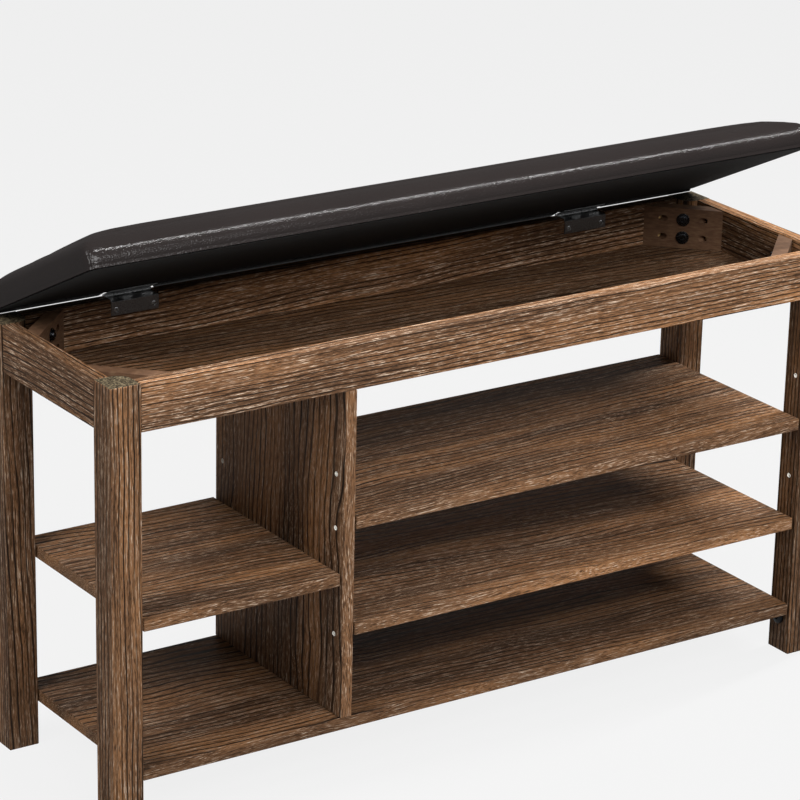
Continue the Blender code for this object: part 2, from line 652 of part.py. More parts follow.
def make_leaf(name, plate_outline, centre, flip, own, screws, parent, location):
    """One hinge leaf: a bent or flat plate with its knuckles, bore and countersunk holes."""
    bm = bmesh.new()
    half = HINGE_WIDTH / 2
    add_prism(bm, [(centre - half, y, z) for y, z in plate_outline], (2 * half, 0, 0))
    leaf = piece(name, bm, "dark_hinge_steel", parent, location=location)
    bm = bmesh.new()
    add_knuckles(bm, centre, flip, own)
    boolean(leaf, piece("join_knuckles_" + name, bm, None, parent, location=location), "UNION")
    bm = bmesh.new()
    bore = plain_hole(HINGE_PIN_RADIUS + FIT, HINGE_WIDTH + OVERCUT)
    add_turned(bm, (centre - half, 0, 0), (1, 0, 0), bore, MEDIUM)
    for point, direction in screws:
        add_turned(bm, point, direction, countersink(), MEDIUM)
    boolean(leaf, piece("cut_" + name, bm, None, parent, location=location), "DIFFERENCE")


def make_hinges(bench, lid):
    """Two hinges: a frame leaf bent over the rear apron, a lid leaf and a pin each, and their screws."""
    axis = Vector((0, AXIS_Y, AXIS_Z))
    back = -(APRON_THICKNESS + FIT)
    front = back - LEAF_THICKNESS
    bottom = LEAF_HIGH - FRAME_LEAF_DROP
    bent = [(LEAF_EDGE, LEAF_LOW), (back, LEAF_LOW), (back, bottom), (front, bottom), (front, LEAF_HIGH),
            (LEAF_EDGE, LEAF_HIGH)]
    flat = [(LEAF_EDGE, -LEAF_HIGH), (-LID_LEAF_LENGTH, -LEAF_HIGH), (-LID_LEAF_LENGTH, -LEAF_LOW),
            (LEAF_EDGE, -LEAF_LOW)]
    half = HINGE_WIDTH / 2 - FIT
    rod = [(0, -half), (HINGE_PIN_RADIUS, -half), (HINGE_PIN_RADIUS, half), (0, half)]
    for name, centre in zip(HINGE_SIDES, HINGE_CENTRES):
        stem = "hinge_" + name
        frame_seats = [(point - direction * HEAD_DEPTH, direction) for point, direction in frame_leaf_screws(centre)]
        flange_seats = [(point - direction * HEAD_DEPTH, direction) for point, direction in flange_holes(centre)]
        lid_seats = [(point - direction * LEAF_THICKNESS, direction) for point, direction in lid_leaf_screws(centre)]
        make_leaf(stem + "_frame_leaf", bent, centre, 1, range(0, KNUCKLES, 2),
                  [(point - axis, direction) for point, direction in frame_seats + flange_seats], bench, axis)
        make_leaf(stem + "_lid_leaf", flat, centre, -1, range(1, KNUCKLES, 2), lid_seats, lid, (0, 0, 0))
        steel = "dark_hinge_steel"
        fastener(stem + "_pin", rod, axis + Vector((centre, 0, 0)), Vector((1, 0, 0)), steel, bench, MEDIUM)
        for side_name, frame_seat, lid_seat in zip(HINGE_SIDES, frame_seats, lid_seats):
            fastener(stem + "_frame_screw_" + side_name, hinge_screw(), *frame_seat, steel, bench, MEDIUM)
            fastener(stem + "_lid_screw_" + side_name, hinge_screw(), *lid_seat, steel, lid, MEDIUM)


def lid_ring(bm, inset, height, pull=0.0, radius=None):
    """Adds one closed ring of points round the lid, inset from its edge; pull draws the sides in."""
    half_x, half_y = LID_HALF_LENGTH - inset, PAD_HALF_DEPTH - inset
    if radius is None:
        radius = LID_CORNER_RADIUS - inset
    radius = max(0.001, min(radius, 0.95 * half_y))
    middle_y = -(LID_REAR_GAP + PAD_HALF_DEPTH)
    points = []
    for quarter, (sx, sy) in enumerate(((1, -1), (1, 1), (-1, 1), (-1, -1))):
        for step in range(CORNER_STEPS + 1):
            angle = math.pi / 2 * (quarter - 1 + step / CORNER_STEPS)
            points.append(((half_x - radius) * sx + radius * math.cos(angle),
                           (half_y - radius) * sy + radius * math.sin(angle)))
        start = points[-1]
        if quarter % 2 == 0:
            count, stop, drawn = SHORT_SIDE_POINTS, (start[0], -start[1]), (-sx, 0)
        else:
            count, stop, drawn = LONG_SIDE_POINTS, (-start[0], start[1]), (0, -sy)
        for index in range(1, count + 1):
            share = index / (count + 1)
            give = pull * (1 - (2 * share - 1) ** 2)
            points.append((start[0] + (stop[0] - start[0]) * share + drawn[0] * give,
                           start[1] + (stop[1] - start[1]) * share + drawn[1] * give))
    return [bm.verts.new((x, y + middle_y, height)) for x, y in points]


def add_stack(bm, rings):
    """Joins rings into one closed solid, with a flat face over the first and the last ring."""
    for lower, upper in zip(rings, rings[1:]):
        count = len(lower)
        for index in range(count):
            after = (index + 1) % count
            bm.faces.new((lower[index], lower[after], upper[after], upper[index]))
    bm.faces.new(rings[0])
    bm.faces.new(rings[-1])


def pad_profile():
    """The pad's outer section: (inset, height, pull, corner radius) from its lower edge to its crown."""
    rings = [(0.0, HEM_LOW, 0.0, LID_CORNER_RADIUS),
             (-PAD_SIDE_SWELL, HEM_LOW + PAD_SIDE_HEIGHT / 2, 0.0, LID_CORNER_RADIUS),
             (0.0, PAD_SHOULDER, PAD_DRAW_IN, LID_CORNER_RADIUS)]
    for place in PAD_RING_PLACES:
        inset = place * PAD_HALF_DEPTH
        rise = PAD_CROWN * math.sqrt(1 - (1 - place) ** PAD_EDGE_POWER)
        rings.append((inset, PAD_SHOULDER + rise, PAD_DRAW_IN, LID_CORNER_RADIUS + PAD_ROUNDING_GROWTH * inset))
    return rings


def make_lid(lid):
    """The lid in its own frame: x along the hinge axis, -y to the front, z off the underside."""
    bm = bmesh.new()
    skin = COVER_THICKNESS
    outer = [lid_ring(bm, *ring) for ring in reversed(pad_profile())]
    hem = [lid_ring(bm, COVER_HEM, HEM_LOW), lid_ring(bm, COVER_HEM, HEM_HIGH)]
    low = [lid_ring(bm, skin, HEM_HIGH)]
    inner = [lid_ring(bm, inset + skin, height - skin, pull, radius)
             for inset, height, pull, radius in pad_profile()[1:]]
    add_stack(bm, outer + hem + low + inner)
    cover = piece("seat_cover", bm, "espresso_leather", lid, smooth=True)

    bm = bmesh.new()
    skin = COVER_THICKNESS + FIT
    rings = [lid_ring(bm, skin, FOAM_LOW, PAD_DRAW_IN)]
    for inset, height, pull, radius in pad_profile()[2:]:
        rings.append(lid_ring(bm, inset + skin, height - skin, pull, radius))
    add_stack(bm, rings)
    piece("seat_foam", bm, "foam", lid, smooth=True)

    bm = bmesh.new()
    add_stack(bm, [lid_ring(bm, BOARD_INSET, LID_BOARD_LOW), lid_ring(bm, BOARD_INSET, LID_BOARD_HIGH)])
    lid_board = piece("lid_board", bm, "plywood", lid)

    bm = bmesh.new()
    add_stack(bm, [lid_ring(bm, DUST_COVER_INSET, DUST_LOW), lid_ring(bm, DUST_COVER_INSET, DUST_HIGH)])
    dust_cover = piece("dust_cover", bm, "black_cloth", lid)

    up = Vector((0, 0, 1))
    hole = plain_hole(HINGE_SCREW_RADIUS + FIT, HINGE_SCREW_LENGTH - LEAF_THICKNESS + FIT, over=0)
    screws = [point for centre in HINGE_CENTRES for point, direction in lid_leaf_screws(centre)]
    for target in (cover, lid_board, dust_cover):
        drill(target, "cut_lid_screws_" + target.name, [(point, up, hole) for point in screws], COARSE)


def plan_middle():
    """The y in the middle of the bench's outline, from the legs' front faces to the open pad's rear."""
    lean, rise = math.cos(OPEN_ANGLE), math.sin(OPEN_ANGLE)
    reach = max(height * rise - (LID_REAR_GAP + inset) * lean for inset, height, pull, radius in pad_profile())
    return (AXIS_Y + reach) / 2


def main():
    bench = empty("bench", location=(0, -plan_middle(), 0))
    lid = empty("lid_axis", location=(0, AXIS_Y, AXIS_Z), rotation=(-OPEN_ANGLE, 0, 0), parent=bench)
    make_legs(bench)
    make_aprons(bench)
    make_tray(bench)
    make_corner_blocks(bench)
    make_corner_bolts(bench)
    make_divider(bench)
    make_shelves(bench)
    make_pins(bench)
    make_hinges(bench, lid)
    make_lid(lid)


main()
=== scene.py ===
"""Dresses the shoe storage bench: wood-grain boards, a padded faux-leather lid, hinges, bolts and shelf-pin sleeves.

All lengths are in metres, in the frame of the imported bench: +X to its right, +Y to its rear and +Z up.
"""
import json
import math

import bmesh
import bpy
import numpy as np
from bpy.props import FloatProperty, FloatVectorProperty, IntProperty, PointerProperty
from mathutils import Matrix, Vector


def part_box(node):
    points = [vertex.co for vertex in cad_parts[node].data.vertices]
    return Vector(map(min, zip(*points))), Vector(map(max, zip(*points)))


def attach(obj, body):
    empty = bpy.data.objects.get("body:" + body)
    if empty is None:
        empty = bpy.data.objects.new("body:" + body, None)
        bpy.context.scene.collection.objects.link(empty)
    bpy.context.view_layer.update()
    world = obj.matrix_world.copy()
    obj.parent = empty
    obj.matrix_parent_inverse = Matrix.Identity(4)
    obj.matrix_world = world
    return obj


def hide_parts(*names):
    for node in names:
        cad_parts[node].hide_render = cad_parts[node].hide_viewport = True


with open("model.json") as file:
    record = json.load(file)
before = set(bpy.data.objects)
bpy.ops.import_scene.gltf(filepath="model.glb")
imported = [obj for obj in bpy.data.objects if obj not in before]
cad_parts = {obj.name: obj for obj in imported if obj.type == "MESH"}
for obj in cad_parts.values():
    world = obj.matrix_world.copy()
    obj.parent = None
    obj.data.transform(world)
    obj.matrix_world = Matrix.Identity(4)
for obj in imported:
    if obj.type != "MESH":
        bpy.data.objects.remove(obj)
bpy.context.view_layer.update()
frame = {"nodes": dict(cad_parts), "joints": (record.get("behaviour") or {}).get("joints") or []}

bl_info = {
    "name": "Shoe Storage Bench Dressing",
    "version": (1, 0, 0),
    "blender": (4, 5, 0),
    "location": "3D View > Sidebar > Bench",
    "description": "Finishes and fittings of a shoe storage bench with a padded lid",
    "category": "Object",
}


def linear(code):
    """An sRGB hex colour as linear red, green and blue."""
    channels = [int(code[place:place + 2], 16) / 255 for place in (1, 3, 5)]
    return [c / 12.92 if c <= 0.04045 else ((c + 0.055) / 1.055) ** 2.4 for c in channels]


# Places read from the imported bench
LEFT, RIGHT, FRONT, REAR = -1, 1, -1, 1
SIDES = (("left", LEFT), ("right", RIGHT))
ENDS = (("front", FRONT), ("rear", REAR))
LEG_LOW, LEG_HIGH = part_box("leg_front_left")
LEG_SIDE = LEG_HIGH.x - LEG_LOW.x
BENCH_HALF = -LEG_LOW.x
FRONT_FACE = LEG_LOW.y
REAR_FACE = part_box("leg_rear_left")[1].y
FRAME_TOP = LEG_HIGH.z
PIN_LOW, PIN_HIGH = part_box("hinge_left_pin")
LID_AXIS = Vector((0, (PIN_LOW.y + PIN_HIGH.y) / 2, (PIN_LOW.z + PIN_HIGH.z) / 2))
LID_REST = math.radians(-frame["joints"][0]["range_deg"][0])
LID_FRAME = Matrix.Translation(LID_AXIS) @ Matrix.Rotation(-LID_REST, 4, "X")

# Sizes that the fittings share with the solids
HEM_UNDERSIDE = 0.0042
BOARD_TOP = 0.0183
LID_BACK_GAP = 0.002
BLOCK_FACE_REACH = 0.054
POCKET_ALONG = 0.025
POCKET_SEAT = 0.0103
BLOCK_ROW_OFFSET = 0.0115
LOWEST_HOLE = 0.1685
HOLE_PITCH = 0.065
HOLE_ROWS = 4
FLANGE_SCREW_ALONG = 0.017
FLANGE_SCREW_IN = 0.009
FLANGE_SCREW_PROUD = 0.0003
NOTCH_FLOOR_DROP = 0.0042
LEAF_THICKNESS = 0.0012

# The photograph's camera, solved from the bench's own corners
FOCAL_LENGTH = 158.786
SENSOR = 36.0
SHIFT = (0.08483, 0.13283)
EYE = Vector((-2.210727, -3.230662, 1.776228))
EYE_RIGHT = Vector((0.842870, -0.537929, 0.014274))
EYE_UP = Vector((0.185460, 0.315290, 0.930697))


# Materials

def node(tree, kind, values=None, links=None, stops=None, **settings):
    """Adds a node with its settings, its sockets' values and its links.

    A link comes from a socket, or from a node, whose first output in use it then takes. Stops are a colour ramp's
    (place, hex).
    """
    made = tree.nodes.new("ShaderNode" + kind)
    for name, value in settings.items():
        setattr(made, name, value)
    for socket, value in (values or {}).items():
        made.inputs[socket].default_value = value
    for socket, source in (links or {}).items():
        if isinstance(source, bpy.types.Node):
            source = next(output for output in source.outputs if output.enabled)
        tree.links.new(source, made.inputs[socket])
    if stops:
        elements = made.color_ramp.elements
        while len(elements) < len(stops):
            elements.new(0.5)
        for element, (place, code) in zip(elements, stops):
            element.position = place
            element.color = linear(code) + [1.0]
    return made


def new_material(name):
    """An empty node material and its tree."""
    material = bpy.data.materials.new(name)
    material.use_nodes = True
    material.node_tree.nodes.clear()
    return material, material.node_tree


def finish_material(tree, values, links, height=None, relief=0.0, depth=0.001):
    """Ends a material in one principled shader, with a bump from height where one is given."""
    if height is not None:
        bump = node(tree, "Bump", {"Strength": relief, "Distance": depth}, {"Height": height})
        links = dict(links, Normal=bump)
        links["Coat Normal"] = bump
    shader = node(tree, "BsdfPrincipled", values, links)
    node(tree, "OutputMaterial", links={"Surface": shader})


# The length of one wave of a wave texture at scale 1
WAVE_LENGTH = 0.31416
GRAIN_TURN = {"x": (0, 0, 0), "y": (0, 0, -math.pi / 2), "z": (0, math.pi / 2, 0)}


def walnut_foil(name, grain, heart, tilt, ring_width, wander, tone_and_shade, look, wide=None, bare_ends=0):
    """Particle board under an embossed walnut-print foil.

    The foil's satin coat keeps soft highlights. Its print shows growth rings cut at a slant, as long dark lines
    that run together in arches, and short open pores along the grain. The print's pores are about 0.3 mm wide,
    too fine to show in the render, so they are drawn about 0.8 mm wide. Wander is how far the rings stray, the
    lightness factor scales the whole colour, partly for how light the piece of print is and partly as painted light
    and shade, and wide is the direction that a board's broad faces look in.
    """
    material, tree = new_material(name)
    place = node(tree, "TexCoord")
    along = node(tree, "Mapping", {"Rotation": GRAIN_TURN[grain]}, {"Vector": place.outputs["Object"]})
    board = node(tree, "Mapping", {"Location": heart, "Rotation": tilt}, {"Vector": along})
    # Waves of the grain, about 20 cm long and 7 cm across
    slow = node(tree, "VectorMath", {1: (5.0, 14.0, 14.0)}, {0: board}, operation="MULTIPLY")
    swing = node(tree, "TexNoise", {"Scale": 1.0, "Detail": 3.0, "Roughness": 0.45}, {"Vector": slow})
    centred = node(tree, "VectorMath", {1: (0.5, 0.5, 0.5)}, {0: swing.outputs["Color"]}, operation="SUBTRACT")
    sway = node(tree, "VectorMath", {1: (0.0, wander, wander)}, {0: centred}, operation="MULTIPLY")
    warped = node(tree, "VectorMath", links={0: board, 1: sway})
    # Growth rings: a narrow dark line at the end of each
    rings = node(tree, "TexWave", {"Scale": WAVE_LENGTH / ring_width, "Distortion": 0.0}, {"Vector": warped},
                 wave_type="RINGS", rings_direction="X", wave_profile="SAW")
    late = node(tree, "ValToRGB", links={"Fac": rings.outputs["Fac"]},
                stops=((0.0, "#ffffff"), (0.08, "#000000"), (0.66, "#000000"), (0.78, "#a8a8a8"), (0.86, "#ffffff")))
    fade_scale = node(tree, "VectorMath", {1: (3.0, 60.0, 60.0)}, {0: warped}, operation="MULTIPLY")
    fade = node(tree, "TexNoise", {"Scale": 1.0, "Detail": 2.0}, {"Vector": fade_scale})
    fade_range = node(tree, "MapRange", {1: 0.40, 2: 0.52, 3: 0.5, 4: 1.0}, {0: fade})
    ring_lines = node(tree, "Math", links={0: late, 1: fade_range}, operation="MULTIPLY")
    if wide:
        # The strips on a board's edges are printed without rings
        flat = node(tree, "VectorMath", {1: wide}, {0: place.outputs["Normal"]}, operation="DOT_PRODUCT")
        level = node(tree, "Math", links={0: flat}, operation="ABSOLUTE")
        ring_lines = node(tree, "Math", links={0: ring_lines, 1: level}, operation="MULTIPLY")
    # Short pores, and longer streaks of them
    pore_scale = node(tree, "VectorMath", {1: (1 / look.pore_length, 1 / look.pore_width, 1 / look.pore_width)},
                      {0: warped}, operation="MULTIPLY")
    pores = node(tree, "TexNoise", {"Scale": 1.0, "Detail": 2.0, "Roughness": 0.6}, {"Vector": pore_scale})
    streak_scale = node(tree, "VectorMath", {1: (0.10, 0.60, 0.60)}, {0: pore_scale}, operation="MULTIPLY")
    streaks = node(tree, "TexNoise", {"Scale": 1.0, "Detail": 2.0, "Roughness": 0.6}, {"Vector": streak_scale})
    both = node(tree, "Math", links={0: pores, 1: streaks})
    figure = node(tree, "Math", {1: 0.5}, {0: both}, operation="MULTIPLY")
    pore_lines = node(tree, "ValToRGB", links={"Fac": figure},
                      stops=((0.41, "#ffffff"), (0.45, "#b0b0b0"), (0.485, "#000000"), (1.0, "#000000")))
    pale_lines = node(tree, "ValToRGB", links={"Fac": figure},
                      stops=((0.0, "#000000"), (0.54, "#000000"), (0.585, "#989898"), (0.64, "#ffffff")))
    # Tones of the print, in bands along the grain
    band_scale = node(tree, "VectorMath", {1: (2.0, 24.0, 24.0)}, {0: warped}, operation="MULTIPLY")
    bands = node(tree, "TexNoise", {"Scale": 1.0, "Detail": 3.0}, {"Vector": band_scale})
    ground = node(tree, "ValToRGB", links={"Fac": bands},
                  stops=((0.36, "#5c422e"), (0.50, "#78563b"), (0.64, "#966b47")))
    pale = node(tree, "Mix", {7: list(look.pale_grain) + [1.0]}, {0: pale_lines, 6: ground}, data_type="RGBA")
    ringed = node(tree, "Mix", {7: list(look.dark_grain) + [1.0]}, {0: ring_lines, 6: pale}, data_type="RGBA")
    pored_share = node(tree, "Math", {1: 0.78}, {0: pore_lines}, operation="MULTIPLY")
    pored = node(tree, "Mix", {7: list(look.dark_grain) + [1.0]}, {0: pored_share, 6: ringed}, data_type="RGBA")
    # The whole colour is scaled piece by piece: partly how light the print is, partly painted light and shade
    print_with_light_and_shade = node(tree, "VectorMath", {1: (tone_and_shade, tone_and_shade, tone_and_shade)}, {0: pored}, operation="MULTIPLY")
    # The legs' tops and feet, which no foil covers
    facing = node(tree, "VectorMath", {1: (0, 0, bare_ends)}, {0: place.outputs["Normal"]}, operation="DOT_PRODUCT")
    squared = node(tree, "Math", links={0: facing, 1: facing}, operation="MULTIPLY")
    cut_end = node(tree, "Math", {1: 0.8}, {0: squared}, operation="GREATER_THAN")
    specks = node(tree, "TexNoise", {"Scale": 420.0, "Detail": 3.0}, {"Vector": place.outputs["Object"]})
    end_colour = node(tree, "ValToRGB", links={"Fac": specks},
                      stops=((0.36, "#211c15"), (0.5, "#40382a"), (0.64, "#6c614d")))
    finished = node(tree, "Mix", links={0: cut_end, 6: print_with_light_and_shade, 7: end_colour}, data_type="RGBA")
    gloss = node(tree, "MapRange", {1: 0.4, 2: 0.6, 3: 0.62, 4: 0.48}, {0: figure})
    finish_material(tree, {"Specular IOR Level": 0.0, "Roughness": 0.8, "Coat Weight": 0.2, "Coat IOR": 1.5},
                    {"Base Color": finished, "Coat Roughness": gloss}, figure, 0.5, look.emboss)
    return material


def stained_block(name):
    """Hardwood block with a thin brown stain: flat and plain, with faint short grain that the stain half fills."""
    material, tree = new_material(name)
    place = node(tree, "TexCoord").outputs["Object"]
    stretch = node(tree, "VectorMath", {1: (90.0, 90.0, 420.0)}, {0: place}, operation="MULTIPLY")
    grain = node(tree, "TexNoise", {"Scale": 1.0, "Detail": 3.0, "Roughness": 0.6}, {"Vector": stretch})
    colour = node(tree, "ValToRGB", links={"Fac": grain},
                  stops=((0.30, "#4a3526"), (0.52, "#5a412f"), (0.75, "#67503c")))
    finish_material(tree, {"Roughness": 0.7, "Specular IOR Level": 0.15}, {"Base Color": colour}, grain, 0.25, 0.0002)
    return material


def faux_leather(name, look):
    """Polyurethane-coated cloth, embossed with a pebble grain: a soft sheen that breaks up in the grain.

    The pebbles are about 1 mm, too fine to show in the render, so they are drawn at the size set in the panel.
    """
    material, tree = new_material(name)
    place = node(tree, "TexCoord").outputs["Object"]
    pebbles = node(tree, "TexVoronoi", {"Scale": 1 / look.pebble, "Randomness": 0.95}, {"Vector": place},
                   feature="SMOOTH_F1")
    fine = node(tree, "TexNoise", {"Scale": 1 / (0.45 * look.pebble), "Detail": 2.0}, {"Vector": place})
    relief = node(tree, "Math", {1: 0.35}, {0: fine}, operation="MULTIPLY")
    grain = node(tree, "Math", links={0: relief, 1: pebbles}, operation="SUBTRACT")
    # Rubbed and darker patches, about 12 cm across
    patch = node(tree, "TexNoise", {"Scale": 8.0, "Detail": 4.0, "Roughness": 0.55}, {"Vector": place})
    colour = node(tree, "Mix", {6: [0.72 * c for c in look.leather] + [1.0], 7: list(look.leather) + [1.0]},
                  {0: patch}, data_type="RGBA")
    gloss = node(tree, "MapRange", {1: 0.3, 2: 0.7, 3: 0.13, 4: 0.21}, {0: patch})
    # A thin coat of a high index, so that the lamp's line stands out and the pale surroundings don't
    finish_material(tree, {"Specular IOR Level": 0.0, "Roughness": 0.7, "Coat Weight": 0.065, "Coat IOR": 2.6},
                    {"Base Color": colour, "Coat Roughness": gloss}, grain, 0.6, 0.0006)
    return material


def spunbond_cloth(name):
    """Black spunbond polypropylene, the thin dust cloth under upholstery: matt, with a grid of bonded dimples.

    The dimples are about 1 mm apart, too fine to show in the render, so they are drawn 2.4 mm apart.
    """
    spacing = 0.0024
    material, tree = new_material(name)
    place = node(tree, "TexCoord").outputs["Object"]
    level = node(tree, "Mapping", {"Rotation": (LID_REST, 0, 0)}, {"Vector": place})
    across = node(tree, "TexWave", {"Scale": WAVE_LENGTH / spacing}, {"Vector": level}, bands_direction="X")
    down = node(tree, "TexWave", {"Scale": WAVE_LENGTH / spacing}, {"Vector": level}, bands_direction="Y")
    grid = node(tree, "Math", links={0: across.outputs["Fac"], 1: down.outputs["Fac"]}, operation="MULTIPLY")
    fibres = node(tree, "TexNoise", {"Scale": 900.0, "Detail": 3.0}, {"Vector": level})
    colour = node(tree, "ValToRGB", links={"Fac": fibres}, stops=((0.3, "#1e1e1e"), (0.7, "#323232")))
    finish_material(tree, {"Roughness": 0.95, "Specular IOR Level": 0.08}, {"Base Color": colour}, grid, 0.3, 0.0002)
    return material


def worked_steel(name, dark, pale, roughness, metallic=1.0, worn_edge=0.0):
    """Steel with a cloudy surface from its bath or tumbling, whose tone and gloss vary from speck to speck.

    A worn edge is rounded off by the shader over that width, so that it catches the light.
    """
    speck = 0.0016
    material, tree = new_material(name)
    place = node(tree, "TexCoord").outputs["Object"]
    cloud = node(tree, "TexNoise", {"Scale": 1 / speck, "Detail": 4.0, "Roughness": 0.6}, {"Vector": place})
    colour = node(tree, "ValToRGB", links={"Fac": cloud}, stops=((0.3, dark), (0.7, pale)))
    gloss = node(tree, "MapRange", {1: 0.3, 2: 0.7, 3: roughness - 0.06, 4: roughness + 0.08}, {0: cloud})
    bump = node(tree, "Bump", {"Strength": 0.12, "Distance": 0.0002}, {"Height": cloud})
    if worn_edge:
        edge = node(tree, "Bevel", {"Radius": worn_edge}, samples=4)
        tree.links.new(edge.outputs["Normal"], bump.inputs["Normal"])
    finish_material(tree, {"Metallic": metallic}, {"Base Color": colour, "Roughness": gloss, "Normal": bump})
    return material


def sleeve_plastic(name):
    """Moulded polyethylene, milky white: a waxy surface with a soft shine and faint flow marks."""
    material, tree = new_material(name)
    place = node(tree, "TexCoord").outputs["Object"]
    flow = node(tree, "TexNoise", {"Scale": 700.0, "Detail": 2.0}, {"Vector": place})
    colour = node(tree, "ValToRGB", links={"Fac": flow}, stops=((0.3, "#efebe1"), (0.7, "#fbf8f0")))
    finish_material(tree, {"Roughness": 0.42, "IOR": 1.5}, {"Base Color": colour}, flow, 0.1, 0.0001)
    return material


def birch_ply(name):
    """Plywood: pale birch veneers about 1.5 mm thick, whose edges show as light and brown bands."""
    ply = 0.0015
    material, tree = new_material(name)
    place = node(tree, "TexCoord").outputs["Object"]
    level = node(tree, "Mapping", {"Rotation": (LID_REST, 0, 0)}, {"Vector": place})
    plies = node(tree, "TexWave", {"Scale": WAVE_LENGTH / (2 * ply), "Distortion": 0.4}, {"Vector": level},
                 bands_direction="Z")
    colour = node(tree, "ValToRGB", links={"Fac": plies.outputs["Fac"]}, stops=((0.2, "#9a7649"), (0.6, "#c7a575")))
    finish_material(tree, {"Roughness": 0.7, "IOR": 1.5}, {"Base Color": colour})
    return material


# Shapes

def clamped(share):
    """A share held between 0 and 1."""
    return max(0.0, min(1.0, share))


def held_within(point, room):
    """The nearest point to a point in a rectangle about the origin, which reaches out by room."""
    return Vector([max(-r, min(r, p)) for p, r in zip(point, room)])


def add_object(name, bm):
    """An object made of a bmesh, which is used up."""
    mesh = bpy.data.meshes.new(name)
    bm.to_mesh(mesh)
    bm.free()
    obj = bpy.data.objects.new(name, mesh)
    bpy.context.scene.collection.objects.link(obj)
    return obj


def paint(name, material):
    """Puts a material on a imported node."""
    for slot in frame["nodes"][name].material_slots:
        slot.material = material


def show(name, bm, material, body, place=None, angle=35.0):
    """Makes a piece from its bmesh, with its place in its mesh, and lets it ride on a body of the bench."""
    if place is not None:
        bmesh.ops.transform(bm, matrix=place, verts=bm.verts)
    bmesh.ops.recalc_face_normals(bm, faces=bm.faces)
    obj = add_object(name, bm)
    obj.data.shade_smooth()
    obj.data.set_sharp_from_angle(angle=math.radians(angle))
    obj.data.materials.append(material)
    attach(obj, body)
    return obj


def turned(profile, steps):
    """A turned piece about Z, from (radius, height) points. Open ends of the profile on the axis are closed."""
    bm = bmesh.new()
    verts = [bm.verts.new((radius, 0, height)) for radius, height in profile]
    edges = [bm.edges.new(pair) for pair in zip(verts, verts[1:])]
    bmesh.ops.spin(bm, geom=verts + edges, cent=(0, 0, 0), axis=(0, 0, 1), angle=2 * math.pi, steps=steps,
                   use_merge=True, use_duplicate=False)
    bmesh.ops.remove_doubles(bm, verts=bm.verts, dist=1e-6)
    bmesh.ops.recalc_face_normals(bm, faces=bm.faces)
    return bm


def sink(bm, faces, depth):
    """Sinks faces into a piece whose outer end looks to -Z."""
    moved = bmesh.ops.extrude_face_region(bm, geom=faces)
    bmesh.ops.delete(bm, geom=faces, context="FACES_ONLY")
    verts = [item for item in moved["geom"] if isinstance(item, bmesh.types.BMVert)]
    bmesh.ops.translate(bm, verts=verts, vec=(0, 0, depth))


def faces_within(bm, radius, top):
    """The faces of a turned piece's outer end that lie inside a radius."""
    return [face for face in bm.faces
            if face.calc_center_median().z < top + 1e-5
            and max(vert.co.xy.length for vert in face.verts) < radius + 1e-5]


def hex_socket(bm, radius, top, depth):
    """Shapes the ring of points at a radius into a hexagon and sinks it."""
    for vert in bm.verts:
        if abs(vert.co.xy.length - radius) < 1e-5 and vert.co.z < top + 1e-5:
            turn = math.atan2(vert.co.y, vert.co.x) % (math.pi / 3) - math.pi / 6
            vert.co.xy *= math.cos(math.pi / 6) / math.cos(turn)
    sink(bm, faces_within(bm, radius, top), depth)


def cross_recess(bm, core, arm, top, depth):
    """Sinks a cross: the core and four arms between two radii."""
    faces = faces_within(bm, core, top)
    for face in faces_within(bm, arm, top):
        centre = face.calc_center_median()
        turn = math.atan2(centre.y, centre.x) % (math.pi / 2)
        if face not in faces and min(turn, math.pi / 2 - turn) < math.radians(10):
            faces.append(face)
    sink(bm, faces, depth)


def rounded_plate(length, depth, centre, radius, segments):
    """A flat bmesh face with rounded corners."""
    bm = bmesh.new()
    bmesh.ops.create_grid(bm, x_segments=1, y_segments=1, size=0.5)
    bmesh.ops.scale(bm, vec=(length, depth, 1), verts=bm.verts)
    bmesh.ops.translate(bm, verts=bm.verts, vec=centre)
    bmesh.ops.bevel(bm, geom=bm.verts[:], affect="VERTICES", offset=radius, segments=segments, profile=0.5,
                    material=-1)
    return bm


def aimed(point, direction):
    """A place whose +Z looks along a direction."""
    return Matrix.Translation(point) @ Vector(direction).to_track_quat("Z", "Y").to_matrix().to_4x4()


def corner_place(side, end):
    """A corner block's frame: origin in the middle of its face, +Y to the leg along the diagonal."""
    x = side * (BENCH_HALF - BLOCK_FACE_REACH)
    y = FRONT_FACE + BLOCK_FACE_REACH if end == FRONT else REAR_FACE - BLOCK_FACE_REACH
    return Matrix.Translation((x, y, 0)) @ Matrix.Rotation(math.atan2(-side, end), 4, "Z")


def corners():
    """Each corner's name, side and end."""
    for end_name, end in ENDS:
        for side_name, side in SIDES:
            yield end_name + "_" + side_name, side, end


def middle(name):
    """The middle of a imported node's box."""
    low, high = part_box(name)
    return (low + high) / 2


def block_rows():
    """The two rows of holes in the corner blocks, as names and heights."""
    block_low, block_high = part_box("corner_block_front_left")
    mid = (block_low.z + block_high.z) / 2
    return ("lower", mid - BLOCK_ROW_OFFSET), ("upper", mid + BLOCK_ROW_OFFSET)


def lid_box(name):
    """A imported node's lowest and highest corners in the lid's own frame."""
    level = LID_FRAME.inverted()
    points = np.array([level @ vert.co for vert in frame["nodes"][name].data.vertices])
    return Vector(points.min(axis=0)), Vector(points.max(axis=0))


# Settings

class BenchStage(bpy.types.PropertyGroup):
    backdrop: FloatVectorProperty(name="Backdrop", description="Colour of the floor and the surroundings",
                                  subtype="COLOR", size=3, default=linear("#f1f1f1"))
    front_light: FloatProperty(name="Front light", description="Power of the large lamp in front of the bench",
                               default=114.0, min=0.0, unit="POWER")
    top_light: FloatProperty(name="Top light", description="Power of the narrow lamp above the lid",
                             default=140.0, min=0.0, unit="POWER")
    side_light: FloatProperty(name="Side light", description="Power of the soft lamp on the left",
                              default=76.0, min=0.0, unit="POWER")


